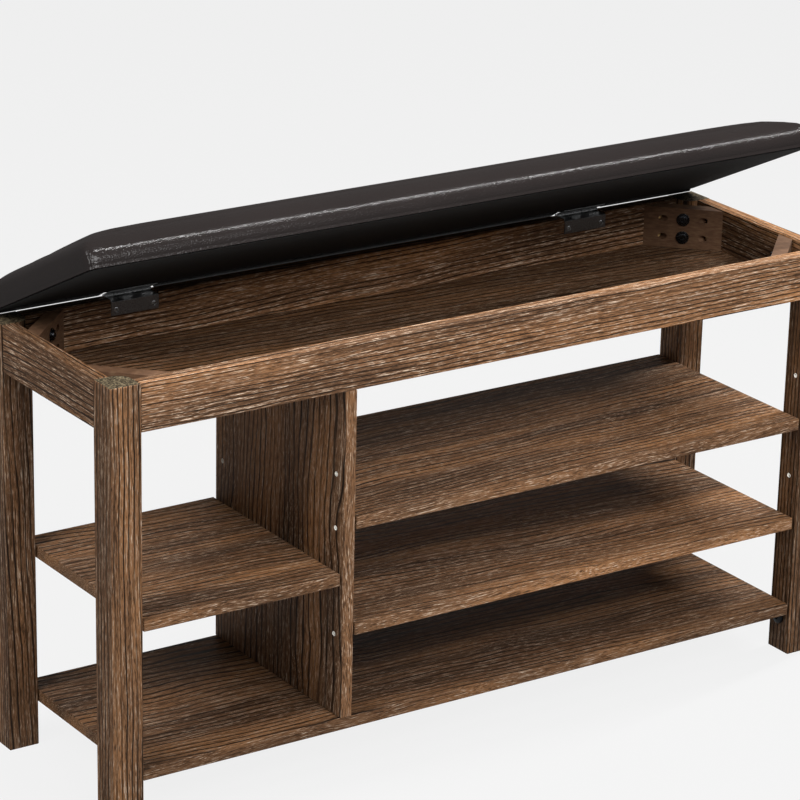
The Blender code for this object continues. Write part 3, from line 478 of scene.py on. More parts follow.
class BenchWood(bpy.types.PropertyGroup):
    dark_grain: FloatVectorProperty(name="Dark grain", description="Colour of the printed pores and ring lines",
                                    subtype="COLOR", size=3, default=linear("#20160f"))
    pale_grain: FloatVectorProperty(name="Pale grain", description="Colour of the pale streaks between the pores",
                                    subtype="COLOR", size=3, default=linear("#c6b09a"))
    board_rings: FloatProperty(name="Rings of the shelves", description="Spacing of the rings in the wide boards",
                               default=0.0068, min=0.002, unit="LENGTH")
    leg_rings: FloatProperty(name="Rings of the legs", description="Spacing of the rings in the legs and aprons",
                             default=0.0046, min=0.002, unit="LENGTH")
    pore_width: FloatProperty(name="Pore width", description="Width of a pore line",
                              default=0.00075, min=0.0003, unit="LENGTH")
    pore_length: FloatProperty(name="Pore length", description="Length of a pore line",
                               default=0.0105, min=0.001, unit="LENGTH")
    emboss: FloatProperty(name="Emboss", description="Depth of the pores that are pressed into the foil",
                          default=0.0004, min=0.0, unit="LENGTH")


class BenchSeat(bpy.types.PropertyGroup):
    leather: FloatVectorProperty(name="Leather", description="Colour of the faux leather",
                                 subtype="COLOR", size=3, default=linear("#1f1a19"))
    pebble: FloatProperty(name="Pebble", description="Size of the leather's pebbles",
                          default=0.0019, min=0.0005, unit="LENGTH")
    length: FloatProperty(name="Length", description="Length of the padded lid", default=0.998, unit="LENGTH")
    depth: FloatProperty(name="Depth", description="Depth of the padded lid", default=0.268, unit="LENGTH")
    corner: FloatProperty(name="Corner", description="Radius of the lid's corners in plan", default=0.0105,
                          unit="LENGTH")
    wall: FloatProperty(name="Wall", description="Height of the pad's upright side", default=0.0180, unit="LENGTH")
    crown: FloatProperty(name="Crown", description="Rise of the pad above its side", default=0.0305, unit="LENGTH")
    slack: FloatProperty(name="Slack", description="How much smaller the cover is before it is stuffed",
                         default=0.0014, unit="LENGTH")
    swell: FloatProperty(name="Swell", description="The furthest that stuffing moves the cover", default=0.0025,
                         unit="LENGTH")
    pressure: FloatProperty(name="Pressure", description="Pressure of the foam in the cloth simulation", default=4.0)
    frames: IntProperty(name="Frames", description="Frames of the cloth simulation", default=20, min=2)


class BenchHardware(bpy.types.PropertyGroup):
    bolt_head: FloatProperty(name="Bolt head", description="Radius of a corner bolt's head", default=0.0060,
                             unit="LENGTH")
    washer: FloatProperty(name="Washer", description="Radius of a corner bolt's washer", default=0.0082, unit="LENGTH")
    stud_head: FloatProperty(name="Stud head", description="Radius of the studs under the bottom shelf",
                             default=0.0080, unit="LENGTH")
    sleeve: FloatProperty(name="Sleeve", description="Radius of a shelf-pin sleeve's collar", default=0.0029,
                          unit="LENGTH")


# Pieces

class BENCH_OT_stage(bpy.types.Operator):
    """Sets up the camera of the photograph, the lamps and the pale floor"""
    bl_idname = "bench.stage"
    bl_label = "Stage and Camera"

    # Each lamp's place, what it looks at, and its size. The narrow one draws the bright line along the pad's edge.
    lamps = {
        "front": ((-0.3, -2.6, 2.6), (0, 0, 0.3), (2.0, 1.2)),
        "top": ((1.45, 0.1, 3.0), (0, -0.1, 0.6), (0.05, 2.4)),
        "side": ((-2.2, -0.5, 2.6), (0, 0, 0.3), (1.4, 1.4)),
    }
    # How light the world is, how light the floor is to the bench, and how the camera's floor is shared between
    # shadow and plain backdrop
    ambient, floor_shade, seen_shade, seen_glow = 0.08, 0.4, 0.028, 0.962

    def execute(self, context):
        look = context.scene.bench_stage
        self.place_camera(context.scene)
        for name, (point, target, size) in self.lamps.items():
            self.add_lamp(name + "_lamp", Vector(point), Vector(target), size, getattr(look, name + "_light"))
        self.light_world(context.scene, look)
        self.lay_floor(look)
        context.scene.view_settings.view_transform = "Standard"
        return {"FINISHED"}

    def place_camera(self, scene):
        """The photograph's camera, shifted as its crop asks for."""
        data = bpy.data.cameras.new("photo_camera")
        data.sensor_fit = "HORIZONTAL"
        data.sensor_width = SENSOR
        data.lens = FOCAL_LENGTH
        data.shift_x, data.shift_y = SHIFT
        data.clip_start, data.clip_end = 0.1, 60.0
        camera = bpy.data.objects.new("photo_camera", data)
        turn = Matrix((EYE_RIGHT, EYE_UP, EYE_RIGHT.cross(EYE_UP))).transposed().to_4x4()
        camera.matrix_world = Matrix.Translation(EYE) @ turn
        scene.collection.objects.link(camera)
        scene.camera = camera

    def add_lamp(self, name, point, target, size, power):
        """One soft rectangular lamp that looks at a target."""
        data = bpy.data.lights.new(name, "AREA")
        data.shape = "RECTANGLE"
        data.size, data.size_y = size
        data.energy = power
        lamp = bpy.data.objects.new(name, data)
        lamp.matrix_world = aimed(point, point - target)
        bpy.context.scene.collection.objects.link(lamp)

    def light_world(self, scene, look):
        """A dim even light, which the camera and shiny surfaces see as the pale backdrop."""
        world = bpy.data.worlds.new("studio")
        world.use_nodes = True
        tree = world.node_tree
        tree.nodes.clear()
        path = node(tree, "LightPath")
        seen = node(tree, "Math", links={0: path.outputs["Is Camera Ray"], 1: path.outputs["Is Transmission Ray"]},
                    operation="MAXIMUM")
        mirrored = node(tree, "Math", links={0: seen, 1: path.outputs["Is Glossy Ray"]}, operation="MAXIMUM")
        colour = list(look.backdrop) + [1.0]
        ambient = node(tree, "Background", {"Color": colour, "Strength": self.ambient})
        shown = node(tree, "Background", {"Color": colour, "Strength": 1.0})
        mixed = node(tree, "MixShader", links={0: mirrored, 1: ambient, 2: shown})
        node(tree, "OutputWorld", links={"Surface": mixed})
        scene.world = world

    def lay_floor(self, look):
        """A pale matt floor that keeps the bench's shadow and ends in the backdrop's colour."""
        material, tree = new_material("studio_floor")
        path = node(tree, "LightPath")
        colour = list(look.backdrop) + [1.0]
        floor_paint = node(tree, "BsdfDiffuse", {"Color": [self.floor_shade] * 3 + [1.0]})
        # The camera sees mostly the backdrop's own colour, with a share of the light so that shadows stay
        shaded = node(tree, "BsdfDiffuse", {"Color": [self.seen_shade] * 3 + [1.0]})
        glow = node(tree, "Emission", {"Color": colour, "Strength": self.seen_glow})
        both = node(tree, "AddShader", links={0: shaded, 1: glow})
        seen = node(tree, "Math", links={0: path.outputs["Is Camera Ray"], 1: path.outputs["Is Glossy Ray"]},
                    operation="MAXIMUM")
        mixed = node(tree, "MixShader", links={0: seen, 1: floor_paint, 2: both})
        node(tree, "OutputMaterial", links={"Surface": mixed})
        bm = bmesh.new()
        bmesh.ops.create_grid(bm, x_segments=2, y_segments=2, size=20.0)
        floor = add_object("studio_floor", bm)
        floor.data.materials.append(material)


class BENCH_OT_boards(bpy.types.Operator):
    """Gives each board, leg and block its finish, with the grain along its length"""
    bl_idname = "bench.boards"
    bl_label = "Boards and Legs"

    # How far the rings stray in the legs and aprons, and in the wide boards
    leg_wander, board_wander = 0.010, 0.024
    # Grain direction, where the rings' heart lies from the origin, how the board was cut across them, and how light
    # the piece is drawn: partly the print's own lightness, partly painted light and shade, darker on the shaded front
    # right leg, tray floor, bottom shelf and left shelf, lighter on the aprons and the rear right leg
    cuts = {
        "leg_front_left": ("z", (0.31, 0.30, -0.30), (0.0, 0.015, 0.015), 0.74),
        "leg_front_right": ("z", (1.35, 0.32, 0.65), (0.0, 0.015, 0.015), 0.55),
        "leg_rear_left": ("z", (2.31, -0.30, -0.62), (0.0, 0.015, -0.015), 0.74),
        "leg_rear_right": ("z", (3.38, -0.28, 0.62), (0.0, -0.015, 0.015), 1.25),
        "apron_front": ("x", (0.20, 0.24, -0.33), (0.0, 0.015, 0.02), 1.25),
        "apron_rear": ("x", (1.10, -0.24, -0.35), (0.0, 0.015, 0.02), 1.25),
        "apron_left": ("y", (2.20, -0.35, -0.36), (0.0, 0.02, 0.03), 0.92),
        "apron_right": ("y", (3.30, 0.35, -0.36), (0.0, 0.02, 0.03), 1.00),
        "shelf_bottom": ("x", (4.10, -0.22, 0.17), (0.0, 0.02, 0.04), 0.62),
        "shelf_left": ("x", (5.20, -0.24, -0.05), (0.0, 0.02, 0.05), 0.80),
        "shelf_right_lower": ("x", (6.20, -0.20, -0.01), (0.0, 0.02, 0.05), 1.02),
        "shelf_right_upper": ("x", (7.40, -0.25, -0.10), (0.0, 0.02, -0.04), 1.02),
        "divider": ("z", (8.30, 0.24, 0.07), (0.0, 0.03, 0.05), 0.90),
        "tray_floor": ("x", (9.30, -0.28, -0.22), (0.0, 0.02, 0.03), 0.60),
    }

    def execute(self, context):
        look = context.scene.bench_wood
        for name, (grain, heart, tilt, tone_and_shade) in self.cuts.items():
            is_leg = name.startswith("leg_")
            straight = is_leg or name.startswith("apron_")
            rings = look.leg_rings if straight else look.board_rings
            wander = self.leg_wander if straight else self.board_wander
            wide = None if straight else (1, 0, 0) if name == "divider" else (0, 0, 1)
            paint(name, walnut_foil("walnut_foil_" + name, grain, heart, tilt, rings, wander, tone_and_shade, look,
                                    wide=wide, bare_ends=int(is_leg)))
        block = stained_block("stained_block")
        for name, _, _ in corners():
            paint("corner_block_" + name, block)
        paint("lid_board", birch_ply("birch_ply"))
        return {"FINISHED"}


class BENCH_OT_padded_lid(bpy.types.Operator):
    """Makes the stuffed faux-leather lid over its board, with its turned-in hem"""
    bl_idname = "bench.padded_lid"
    bl_label = "Padded Lid"

    # Where the crown's rings stand, as shares of the way in to the lid's middle line
    rings = (0.01, 0.03, 0.06, 0.10, 0.16, 0.24, 0.36, 0.52, 0.72, 0.90)
    # Powers of the crown's curve: the inner one at the sides and ends, the outer one at the front and elsewhere
    side_power, end_power = 4.0, 3.2
    front_dome, full_dome = 0.85, 0.42
    # How far the ends slope in, and how fast the plan's corners grow rounder towards the middle
    end_reach = 0.160
    front_rounding, rear_rounding = 0.27, 0.10
    # The upright side's bulge, and how far below the crown it ends
    bulge, shoulder = 0.0008, 0.003
    # The cover's faces in the simulation, and the height up to which the board holds it fast
    face_size, held_height = 0.005, 0.005
    # The corners' region: how far it reaches in from the arc's centre, and its height in the lid
    corner_reach, corner_height = 0.006, 0.040
    # A corner's fold: depth, half its width in radians, where it ends and over what height it fades
    fold_depth, fold_width, fold_top, fold_fade = 0.0010, 0.10, 0.025, 0.008
    # The gathers at its foot: depth, how often they repeat round the corner, and height
    gather_depth, gather_rate, gather_height = 0.0002, 22, 0.010
    # The hem: where the stuffed cover is cut off, the leather's width under the board, its thickness, and the board's
    # edge, set in from the cover's
    cut_height, hem_width, hem_thickness, board_inset = 0.0035, 0.022, 0.0015, 0.0033
    # How far the rear fold hangs down and leans back between the hinges and outside them, half the width that a
    # hinge's leaf keeps free, the length over which the fold comes back up to it, and the depth of the rear fold
    droop_between, droop_outside = (0.0033, 0.0059), (0.0027, 0.0028)
    leaf_half, droop_fade, rear_band = 0.032, 0.005, 0.004

    def execute(self, context):
        look = context.scene.bench_seat
        cover = self.unstuffed(look)
        self.stuff(context.scene, cover, look)
        bm = self.softened(cover)
        self.fold_corners(bm, look)
        self.turn_hem(bm, look)
        middle_y = -(LID_BACK_GAP + look.depth / 2)
        pad = show("padded_lid", bm, faux_leather("espresso_faux_leather", look), "lid",
                   place=LID_FRAME @ Matrix.Translation((0, middle_y, 0)), angle=50.0)
        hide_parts("seat_cover", "seat_foam")
        return {"FINISHED"}

    def rounded(self, point, look, inset, place):
        """Moves a point of the lid's outline in by the inset, and by the place of its ring on the crown."""
        reach = place * look.depth / 2
        corner = look.corner + (self.front_rounding if point.y < 0 else self.rear_rounding) * reach
        room = Vector((look.length / 2 - look.corner, look.depth / 2 - look.corner))
        new_room = Vector((look.length / 2 - inset - place * self.end_reach - corner,
                           look.depth / 2 - inset - reach - corner))
        core = held_within(point, room)
        out = (point - core).normalized() if (point - core).length > 1e-7 else Vector((0, 0))
        return Vector([c * n / r for c, n, r in zip(core, new_room, room)]) + out * corner

    def section(self, look):
        """(inset, height, place on the crown) of the pad from its lower edge to its crown."""
        side = [(0.0, 0.0, 0.0), (-self.bulge, look.wall / 2, 0.0), (0.0, look.wall - self.shoulder, 0.0)]
        return side + [(0.0, look.wall, place) for place in self.rings]

    def unstuffed(self, look):
        """The cover as a closed form that is a little small, with even faces for the simulation."""
        bm = rounded_plate(look.length, look.depth, (0, 0, 0), look.corner, 10)
        face = bm.faces[:][0]
        outline = [vert.co.xy for vert in face.verts]
        for step, (inset, height, place) in enumerate(self.section(look)):
            if step:
                face = bmesh.ops.extrude_discrete_faces(bm, faces=[face])["faces"][0]
            for vert, point in zip(face.verts, outline):
                plan = self.rounded(point, look, inset + look.slack, place)
                # The front rises more gently at its edge than the ends and the rear, and the ends slope further
                end_share = max(0.0, (abs(point.x) - look.length / 2 + look.corner) / look.corner)
                power = self.side_power + (self.end_power - self.side_power) * end_share
                dome = self.front_dome + (self.full_dome - self.front_dome) * (end_share if point.y < 0 else 1.0)
                rise = look.crown * (1 - (1 - place) ** power) ** dome
                vert.co = (plan.x, plan.y, HEM_UNDERSIDE + height + rise - (look.slack if step else 0.0))
        bmesh.ops.holes_fill(bm, edges=[edge for edge in bm.edges if edge.is_boundary])
        bmesh.ops.recalc_face_normals(bm, faces=bm.faces)
        obj = add_object("cover_form", bm)
        remesh = obj.modifiers.new("even", "REMESH")
        remesh.mode = "VOXEL"
        remesh.voxel_size = self.face_size
        self.keep(obj)
        return obj

    def keep(self, obj):
        """Replaces an object's mesh with what its modifiers make of it."""
        graph = bpy.context.evaluated_depsgraph_get()
        mesh = bpy.data.meshes.new_from_object(obj.evaluated_get(graph))
        obj.modifiers.clear()
        obj.data = mesh

    def stuff(self, scene, obj, look):
        """Swells the cover by pressure from inside, with its lower edge held by the board."""
        held = obj.vertex_groups.new(name="board_edge")
        for vert in obj.data.vertices:
            rise = (vert.co.z - HEM_UNDERSIDE - self.held_height) / look.wall
            held.add([vert.index], clamped(1.0 - rise), "REPLACE")
        before = np.array([vert.co for vert in obj.data.vertices])
        outward = np.array([vert.normal for vert in obj.data.vertices])
        cloth = obj.modifiers.new("stuffing", "CLOTH")
        cloth.settings.quality = 6
        cloth.settings.use_pressure = True
        cloth.settings.uniform_pressure_force = look.pressure
        cloth.settings.vertex_group_mass = "board_edge"
        cloth.settings.effector_weights.gravity = 0.0
        cloth.point_cache.frame_start = 1
        cloth.point_cache.frame_end = look.frames
        for number in range(1, look.frames + 1):
            scene.frame_set(number)
        graph = bpy.context.evaluated_depsgraph_get()
        after = np.array([vert.co for vert in obj.evaluated_get(graph).data.vertices])
        obj.modifiers.remove(cloth)
        moves = after - before
        # The foam keeps the leather from sinking in
        sunk = np.minimum(0.0, (moves * outward).sum(axis=1, keepdims=True))
        moves -= sunk * outward
        lengths = np.linalg.norm(moves, axis=1, keepdims=True)
        moves *= np.minimum(1.0, look.swell / np.maximum(lengths, 1e-9))
        obj.data.vertices.foreach_set("co", (before + moves).ravel())
        obj.data.update()
        scene.frame_set(1)

    def softened(self, obj):
        """The stuffed cover, smoothed, with each face split in four, as a bmesh. The object itself is removed."""
        subdivision = obj.modifiers.new("soft", "SUBSURF")
        subdivision.levels = subdivision.render_levels = 1
        self.keep(obj)
        bm = bmesh.new()
        bm.from_mesh(obj.data)
        bpy.data.objects.remove(obj)
        return bm

    def fold_corners(self, bm, look):
        """The fold where the leather is tucked round each corner of the board, with small gathers at its foot."""
        room = Vector((look.length / 2 - look.corner, look.depth / 2 - look.corner))

        def at_corner(vert):
            return (abs(vert.co.x) > room.x - self.corner_reach and abs(vert.co.y) > room.y - self.corner_reach
                    and vert.co.z < self.corner_height)

        for _ in range(2):
            edges = [edge for edge in bm.edges if all(at_corner(vert) for vert in edge.verts)]
            bmesh.ops.subdivide_edges(bm, edges=edges, cuts=1, use_grid_fill=True)
        for vert in bm.verts:
            out = vert.co.xy - Vector([math.copysign(r, p) for p, r in zip(vert.co.xy, room)])
            if not at_corner(vert) or out.length < 1e-6:
                continue
            turn = math.atan2(abs(out.y), abs(out.x)) - math.pi / 4
            rise = vert.co.z - HEM_UNDERSIDE
            fade = clamped((self.fold_top - rise) / self.fold_fade)
            fold = self.fold_depth * math.exp(-(turn / self.fold_width) ** 2) * fade
            gathers = self.gather_depth * math.sin(turn * self.gather_rate) * max(0.0, 1 - rise / self.gather_height)
            vert.co.xy -= out.normalized() * (fold + gathers)

    def turn_hem(self, bm, look):
        """Opens the underside round the board and turns the leather in under it."""
        bmesh.ops.bisect_plane(bm, geom=bm.verts[:] + bm.edges[:] + bm.faces[:],
                               plane_co=(0, 0, HEM_UNDERSIDE + self.cut_height), plane_no=(0, 0, 1), clear_inner=True)
        edges = [edge for edge in bm.edges if edge.is_boundary]
        # The fold's lower edge, the hem's inner edge and its upper side, and up the board's edge to its top
        steps = ((look.slack, 0.0), (self.hem_width, 0.0), (self.hem_width, self.hem_thickness),
                 (self.board_inset, self.hem_thickness), (self.board_inset, BOARD_TOP - HEM_UNDERSIDE))
        for step, (inset, height) in enumerate(steps):
            made = bmesh.ops.extrude_edge_only(bm, edges=edges)["geom"]
            edges = [item for item in made if isinstance(item, bmesh.types.BMEdge)]
            for vert in {vert for edge in edges for vert in edge.verts}:
                plan = self.set_in(vert.co.xy, look, inset)
                down, back = (0.0, 0.0) if step else self.droop(plan, look)
                vert.co = (plan.x, plan.y + back, HEM_UNDERSIDE + height - down)
        bmesh.ops.contextual_create(bm, geom=edges)

    def droop(self, plan, look):
        """How far the rear fold of the leather hangs and leans back: most between the hinges, not at their leaves."""
        if plan.y < look.depth / 2 - self.rear_band:
            return 0.0, 0.0
        centre = abs(middle("hinge_right_pin").x)
        away = abs(abs(plan.x) - centre) - self.leaf_half
        down, back = self.droop_between if abs(plan.x) < centre else self.droop_outside
        share = clamped(away / self.droop_fade)
        share *= share * (3 - 2 * share)
        return down * share, back * share

    def set_in(self, point, look, inset):
        """The nearest point of the lid's outline, set in."""
        corner = max(look.corner - inset, 0.0)
        room = Vector((look.length / 2 - inset - corner, look.depth / 2 - inset - corner))
        core = held_within(point, room)
        return core + (point - core).normalized() * corner


class BENCH_OT_dust_cover(bpy.types.Operator):
    """Makes the thin black cloth under the lid, cut round the lid's corners"""
    bl_idname = "bench.dust_cover"
    bl_label = "Dust Cover"

    # The cloth's corner radius, its folded-under border and the step down from it, and the heights of its two sides
    corner, border, step_width, step_depth = 0.008, 0.006, 0.0006, 0.00025
    underside, topside = 0.0003, 0.0009

    def execute(self, context):
        low, high = lid_box("dust_cover")
        centre = ((low.x + high.x) / 2, (low.y + high.y) / 2, low.z + self.underside)
        bm = rounded_plate(high.x - low.x, high.y - low.y, centre, self.corner, 6)
        for cuts, least in ((60, 0.5), (16, 0.15)):
            long_edges = [edge for edge in bm.edges if edge.calc_length() > least]
            bmesh.ops.subdivide_edges(bm, edges=long_edges, cuts=cuts)
        flat = bm.faces[:]
        # The folded-under border is thicker than the rest
        border = bmesh.ops.inset_region(bm, faces=flat, thickness=self.border)["faces"]
        middle_faces = [face for face in bm.faces if face not in set(border)]
        bmesh.ops.inset_region(bm, faces=middle_faces, thickness=self.step_width, depth=-self.step_depth)
        folded = bmesh.ops.extrude_face_region(bm, geom=bm.faces[:])["geom"]
        top = [item for item in folded if isinstance(item, bmesh.types.BMVert)]
        for vert in top:
            vert.co.z = low.z + self.topside
        piece = show("dust_cover_cloth", bm, spunbond_cloth("black_spunbond"), "lid", place=LID_FRAME)
        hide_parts("dust_cover")
        return {"FINISHED"}


class BENCH_OT_corner_bolts(bpy.types.Operator):
    """Makes the socket-head bolts and washers that draw each leg to its corner block"""
    bl_idname = "bench.corner_bolts"
    bl_label = "Corner Bolts"

    def execute(self, context):
        look = context.scene.bench_hardware
        oxide = worked_steel("black_oxide_steel", "#242527", "#444649", 0.24, worn_edge=0.0004)
        for name, side, end in corners():
            place = corner_place(side, end)
            for level, z in block_rows():
                seat = place @ Matrix.Translation((0, 0, z)) @ Matrix.Rotation(-math.pi / 2, 4, "X")
                hole = name + "_" + level
                node_name = "corner_bolt_" + hole
                bolt = show("socket_bolt_" + hole, self.bolt(look), oxide, "frame", place=seat)
                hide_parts(node_name)
                show("washer_" + hole, self.washer(look), oxide, "frame", place=seat)
        return {"FINISHED"}

    def bolt(self, look):
        """A bolt whose head looks to -Z, with the block's face at 0."""
        r = look.bolt_head
        bm = turned([(0, -0.0045), (0.0027, -0.0045), (r - 0.0010, -0.0045), (r - 0.0004, -0.0043), (r, -0.0037),
                     (r, -0.0016), (r - 0.0002, -0.0015), (0.0029, -0.0015), (0.0029, 0.0475), (0.0019, 0.0485),
                     (0, 0.0485)], 36)
        hex_socket(bm, 0.0027, -0.0045, 0.0022)
        return bm

    def washer(self, look):
        """A flat washer with its edges worn round."""
        r = look.washer
        return turned([(0.0032, -0.0015), (r - 0.0003, -0.0015), (r, -0.0012), (r, -0.0006), (r - 0.0003, -0.0003),
                       (0.0032, -0.0003), (0.0032, -0.0015)], 40)


class BENCH_OT_pocket_screws(bpy.types.Operator):
    """Makes the slanted screws that hold each corner block to its aprons"""
    bl_idname = "bench.pocket_screws"
    bl_label = "Pocket Screws"

    def execute(self, context):
        zinc = worked_steel("yellow_zinc_steel", "#d3aa66", "#f4d9a4", 0.45, metallic=0.5)
        for name, side, end in corners():
            place = corner_place(side, end)
            for along_name, along in (("a", -1), ("b", 1)):
                for level, z in block_rows():
                    start = place @ Vector((along * POCKET_ALONG, 0, z))
                    direction = place.to_3x3() @ Vector((along, 1, 0)).normalized()
                    seat = aimed(start + direction * POCKET_SEAT, direction)
                    show("pocket_screw_" + name + "_" + along_name + "_" + level, self.screw(), zinc, "frame",
                         place=seat)
        return {"FINISHED"}

    def screw(self):
        """A pan-head screw with a cross recess, seated at 0."""
        bm = turned([(0, -0.0034), (0.0007, -0.0034), (0.0016, -0.0033), (0.0027, -0.0029), (0.0034, -0.0020),
                     (0.0036, -0.0010), (0.0034, 0.0), (0.0018, 0.0), (0.0018, 0.0160), (0, 0.0190)], 24)
        cross_recess(bm, 0.0007, 0.0016, -0.0033, 0.0014)
        return bm


class BENCH_OT_hinges(bpy.types.Operator):
    """Finishes the hinges' leaves and pins, and makes their cross-recessed screws"""
    bl_idname = "bench.hinges"
    bl_label = "Hinges"

    def execute(self, context):
        gunmetal = worked_steel("gunmetal_plated_steel", "#4c4d4e", "#828384", 0.34, worn_edge=0.0010)
        dark = worked_steel("dark_screw_steel", "#6c6d6e", "#a2a3a4", 0.26, worn_edge=0.0003)
        for name in ("left", "right"):
            for part in ("frame_leaf", "lid_leaf", "pin"):
                paint("hinge_" + name + "_" + part, gunmetal)
            centre = middle("hinge_" + name + "_pin").x
            for side_name, side in SIDES:
                node_name = "hinge_" + name + "_frame_screw_" + side_name
                low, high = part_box(node_name)
                point = Vector(((low.x + high.x) / 2, low.y, (low.z + high.z) / 2))
                screw = show("apron_" + node_name, self.screw(), dark, "frame",
                             place=aimed(point, (0, 1, 0)))
                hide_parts(node_name)
                node_name = "hinge_" + name + "_lid_screw_" + side_name
                low, high = lid_box(node_name)
                point = Vector(((low.x + high.x) / 2, (low.y + high.y) / 2, low.z))
                screw = show("lid_" + node_name, self.screw(), dark, "lid",
                             place=LID_FRAME @ aimed(point, (0, 0, 1)))
                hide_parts(node_name)
                point = Vector((centre + side * FLANGE_SCREW_ALONG, LID_AXIS.y - FLANGE_SCREW_IN,
                                FRAME_TOP - NOTCH_FLOOR_DROP + LEAF_THICKNESS + FLANGE_SCREW_PROUD))
                show("flange_screw_" + name + "_" + side_name, self.screw(), dark, "frame",
                     place=aimed(point, (0, 0, -1)))
        return {"FINISHED"}

    def screw(self):
        """A countersunk screw with a slightly raised head and a cross recess. Its rim is at 0."""
        bm = turned([(0, -0.0001), (0.0006, -0.0001), (0.0015, -0.0001), (0.0023, 0.0), (0.0028, 0.0002),
                     (0.0014, 0.0015), (0.0014, 0.0090), (0, 0.0110)], 24)
        cross_recess(bm, 0.0006, 0.0015, 0.0, 0.0009)
        return bm


class BENCH_OT_pin_sleeves(bpy.types.Operator):
    """Makes the pale sleeve in each shelf-pin hole, and finishes the pins under the loose shelves"""
    bl_idname = "bench.pin_sleeves"
    bl_label = "Shelf Pins and Sleeves"

    def execute(self, context):
        look = context.scene.bench_hardware
        plastic = sleeve_plastic("milky_polyethylene")
        for place_name, point, direction in self.holes():
            show("pin_sleeve_" + place_name, self.sleeve(look), plastic, "frame",
                 place=aimed(point, direction))
        bright = worked_steel("nickel_plated_steel", "#8f9092", "#b9babc", 0.24)
        for name in frame["nodes"]:
            if name.startswith("shelf_pin_"):
                paint(name, bright)
        return {"FINISHED"}

    def holes(self):
        """Each hole's name, mouth and direction."""
        rear_column = REAR_FACE - LEG_SIDE / 2
        front_column = FRONT_FACE + LEG_SIDE / 2
        divider_low, divider_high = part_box("divider")
        walls = [("leg_left", -BENCH_HALF + LEG_SIDE, (-1, 0, 0)), ("leg_right", BENCH_HALF - LEG_SIDE, (1, 0, 0)),
                 ("divider_left", divider_low.x, (1, 0, 0)), ("divider_right", divider_high.x, (-1, 0, 0))]
        for wall, x, direction in walls:
            for column, y in (("front", front_column), ("rear", rear_column)):
                for row in range(HOLE_ROWS):
                    mouth = Vector((x, y, LOWEST_HOLE + row * HOLE_PITCH))
                    yield wall + "_" + column + "_" + str(row + 1), mouth, direction

    def sleeve(self, look):
        """A thin sleeve with a rounded collar. The board's face is at 0."""
        collar, bore = look.sleeve, 0.00245
        return turned([(bore, 0.0058), (bore, 0.0), (bore + 0.00015, -0.00030), (collar - 0.00015, -0.00030),
                       (collar, -0.0001), (collar, -0.00002), (0.00264, -0.00002), (0.00264, 0.0058),
                       (bore, 0.0058)], 28)


class BENCH_OT_studs(bpy.types.Operator):
    """Makes the black socket studs that the bottom shelf rests on"""
    bl_idname = "bench.studs"
    bl_label = "Bottom Shelf Studs"

    def execute(self, context):
        look = context.scene.bench_hardware
        oxide = worked_steel("black_oxide_stud", "#121314", "#222325", 0.42)
        for name, side, end in corners():
            node_name = "bottom_shelf_stud_" + name
            centre = middle(node_name)
            point = Vector((side * (BENCH_HALF - LEG_SIDE), centre.y, centre.z))
            stud = show("socket_stud_" + name, self.stud(look), oxide, "frame",
                        place=aimed(point, (side, 0, 0)))
            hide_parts(node_name)
        return {"FINISHED"}

    def stud(self, look):
        """A low socket head with a rounded edge. The leg's face is at 0."""
        r = look.stud_head
        bm = turned([(0, -0.0053), (0.0029, -0.0053), (r - 0.0018, -0.0053), (r - 0.0007, -0.0049), (r, -0.0038),
                     (r, -0.0006), (r - 0.0003, -0.0003), (0.003, -0.0003), (0.003, 0.021), (0.002, 0.022),
                     (0, 0.022)], 42)
        hex_socket(bm, 0.0029, -0.0053, 0.0027)
        return bm


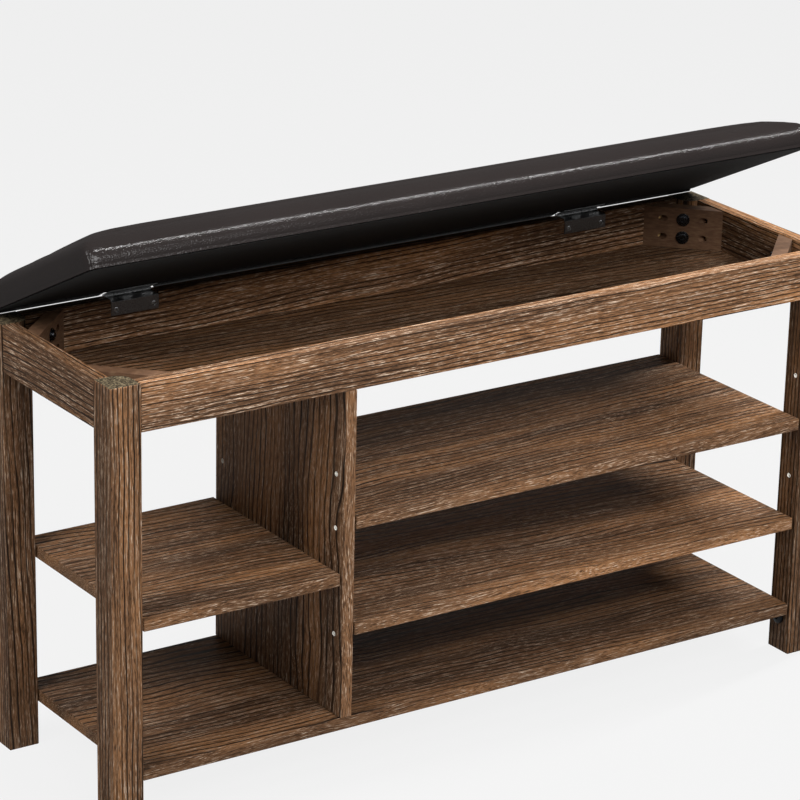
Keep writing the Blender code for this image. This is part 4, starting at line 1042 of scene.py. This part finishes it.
class BENCH_OT_tray_screws(bpy.types.Operator):
    """Makes the small screws that hold the tray floor up in its rebate"""
    bl_idname = "bench.tray_screws"
    bl_label = "Tray Screws"

    # How far the screws stand in from the tray's edge, and where they are along its long sides and its ends
    inset = 0.0036
    long_places, end_places = (-0.33, -0.11, 0.11, 0.33), (-0.045, 0.035)

    def execute(self, context):
        zinc = worked_steel("dark_zinc_steel", "#3a3a3c", "#6a6a6c", 0.38)
        low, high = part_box("tray_floor")
        places = [(x, y) for x in self.long_places for y in (low.y + self.inset, high.y - self.inset)]
        places += [(x, y) for x in (low.x + self.inset, high.x - self.inset) for y in self.end_places]
        for number, (x, y) in enumerate(places, 1):
            show("tray_screw_" + str(number), self.screw(), zinc, "frame",
                 place=aimed(Vector((x, y, low.z)), (0, 0, 1)))
        return {"FINISHED"}

    def screw(self):
        """A low pan-head screw, seated at 0."""
        bm = turned([(0, -0.0014), (0.0006, -0.0014), (0.0014, -0.0013), (0.0024, -0.0010), (0.0029, -0.0004),
                     (0.0029, -0.0001), (0.0012, 0.0), (0.0012, 0.0090), (0, 0.0110)], 24)
        cross_recess(bm, 0.0006, 0.0014, -0.0013, 0.0007)
        return bm


class BENCH_PT_dressing(bpy.types.Panel):
    """Lists the bench's settings and pieces"""
    bl_idname = "BENCH_PT_dressing"
    bl_label = "Shoe Storage Bench"
    bl_space_type = "VIEW_3D"
    bl_region_type = "UI"
    bl_category = "Bench"

    def draw(self, context):
        for group_class, group_name in SETTINGS:
            box = self.layout.box()
            box.label(text=group_class.__name__.replace("Bench", ""))
            group = getattr(context.scene, group_name)
            for name in group_class.__annotations__:
                box.prop(group, name)
        for operator in OPERATORS:
            self.layout.operator(operator.bl_idname)


SETTINGS = ((BenchStage, "bench_stage"), (BenchWood, "bench_wood"), (BenchSeat, "bench_seat"),
            (BenchHardware, "bench_hardware"))
OPERATORS = (BENCH_OT_stage, BENCH_OT_boards, BENCH_OT_padded_lid, BENCH_OT_dust_cover, BENCH_OT_corner_bolts,
             BENCH_OT_pocket_screws, BENCH_OT_hinges, BENCH_OT_pin_sleeves, BENCH_OT_studs, BENCH_OT_tray_screws)


def register():
    for group_class, group_name in SETTINGS:
        bpy.utils.register_class(group_class)
        setattr(bpy.types.Scene, group_name, PointerProperty(type=group_class))
    for cls in OPERATORS + (BENCH_PT_dressing,):
        bpy.utils.register_class(cls)


def unregister():
    for cls in reversed(OPERATORS + (BENCH_PT_dressing,)):
        bpy.utils.unregister_class(cls)
    for group_class, group_name in reversed(SETTINGS):
        delattr(bpy.types.Scene, group_name)
        bpy.utils.unregister_class(group_class)


def main():
    register()
    bpy.ops.bench.stage()
    bpy.ops.bench.boards()
    bpy.ops.bench.padded_lid()
    bpy.ops.bench.dust_cover()
    bpy.ops.bench.corner_bolts()
    bpy.ops.bench.pocket_screws()
    bpy.ops.bench.hinges()
    bpy.ops.bench.pin_sleeves()
    bpy.ops.bench.studs()
    bpy.ops.bench.tray_screws()


if __name__ == "__main__":
    main()
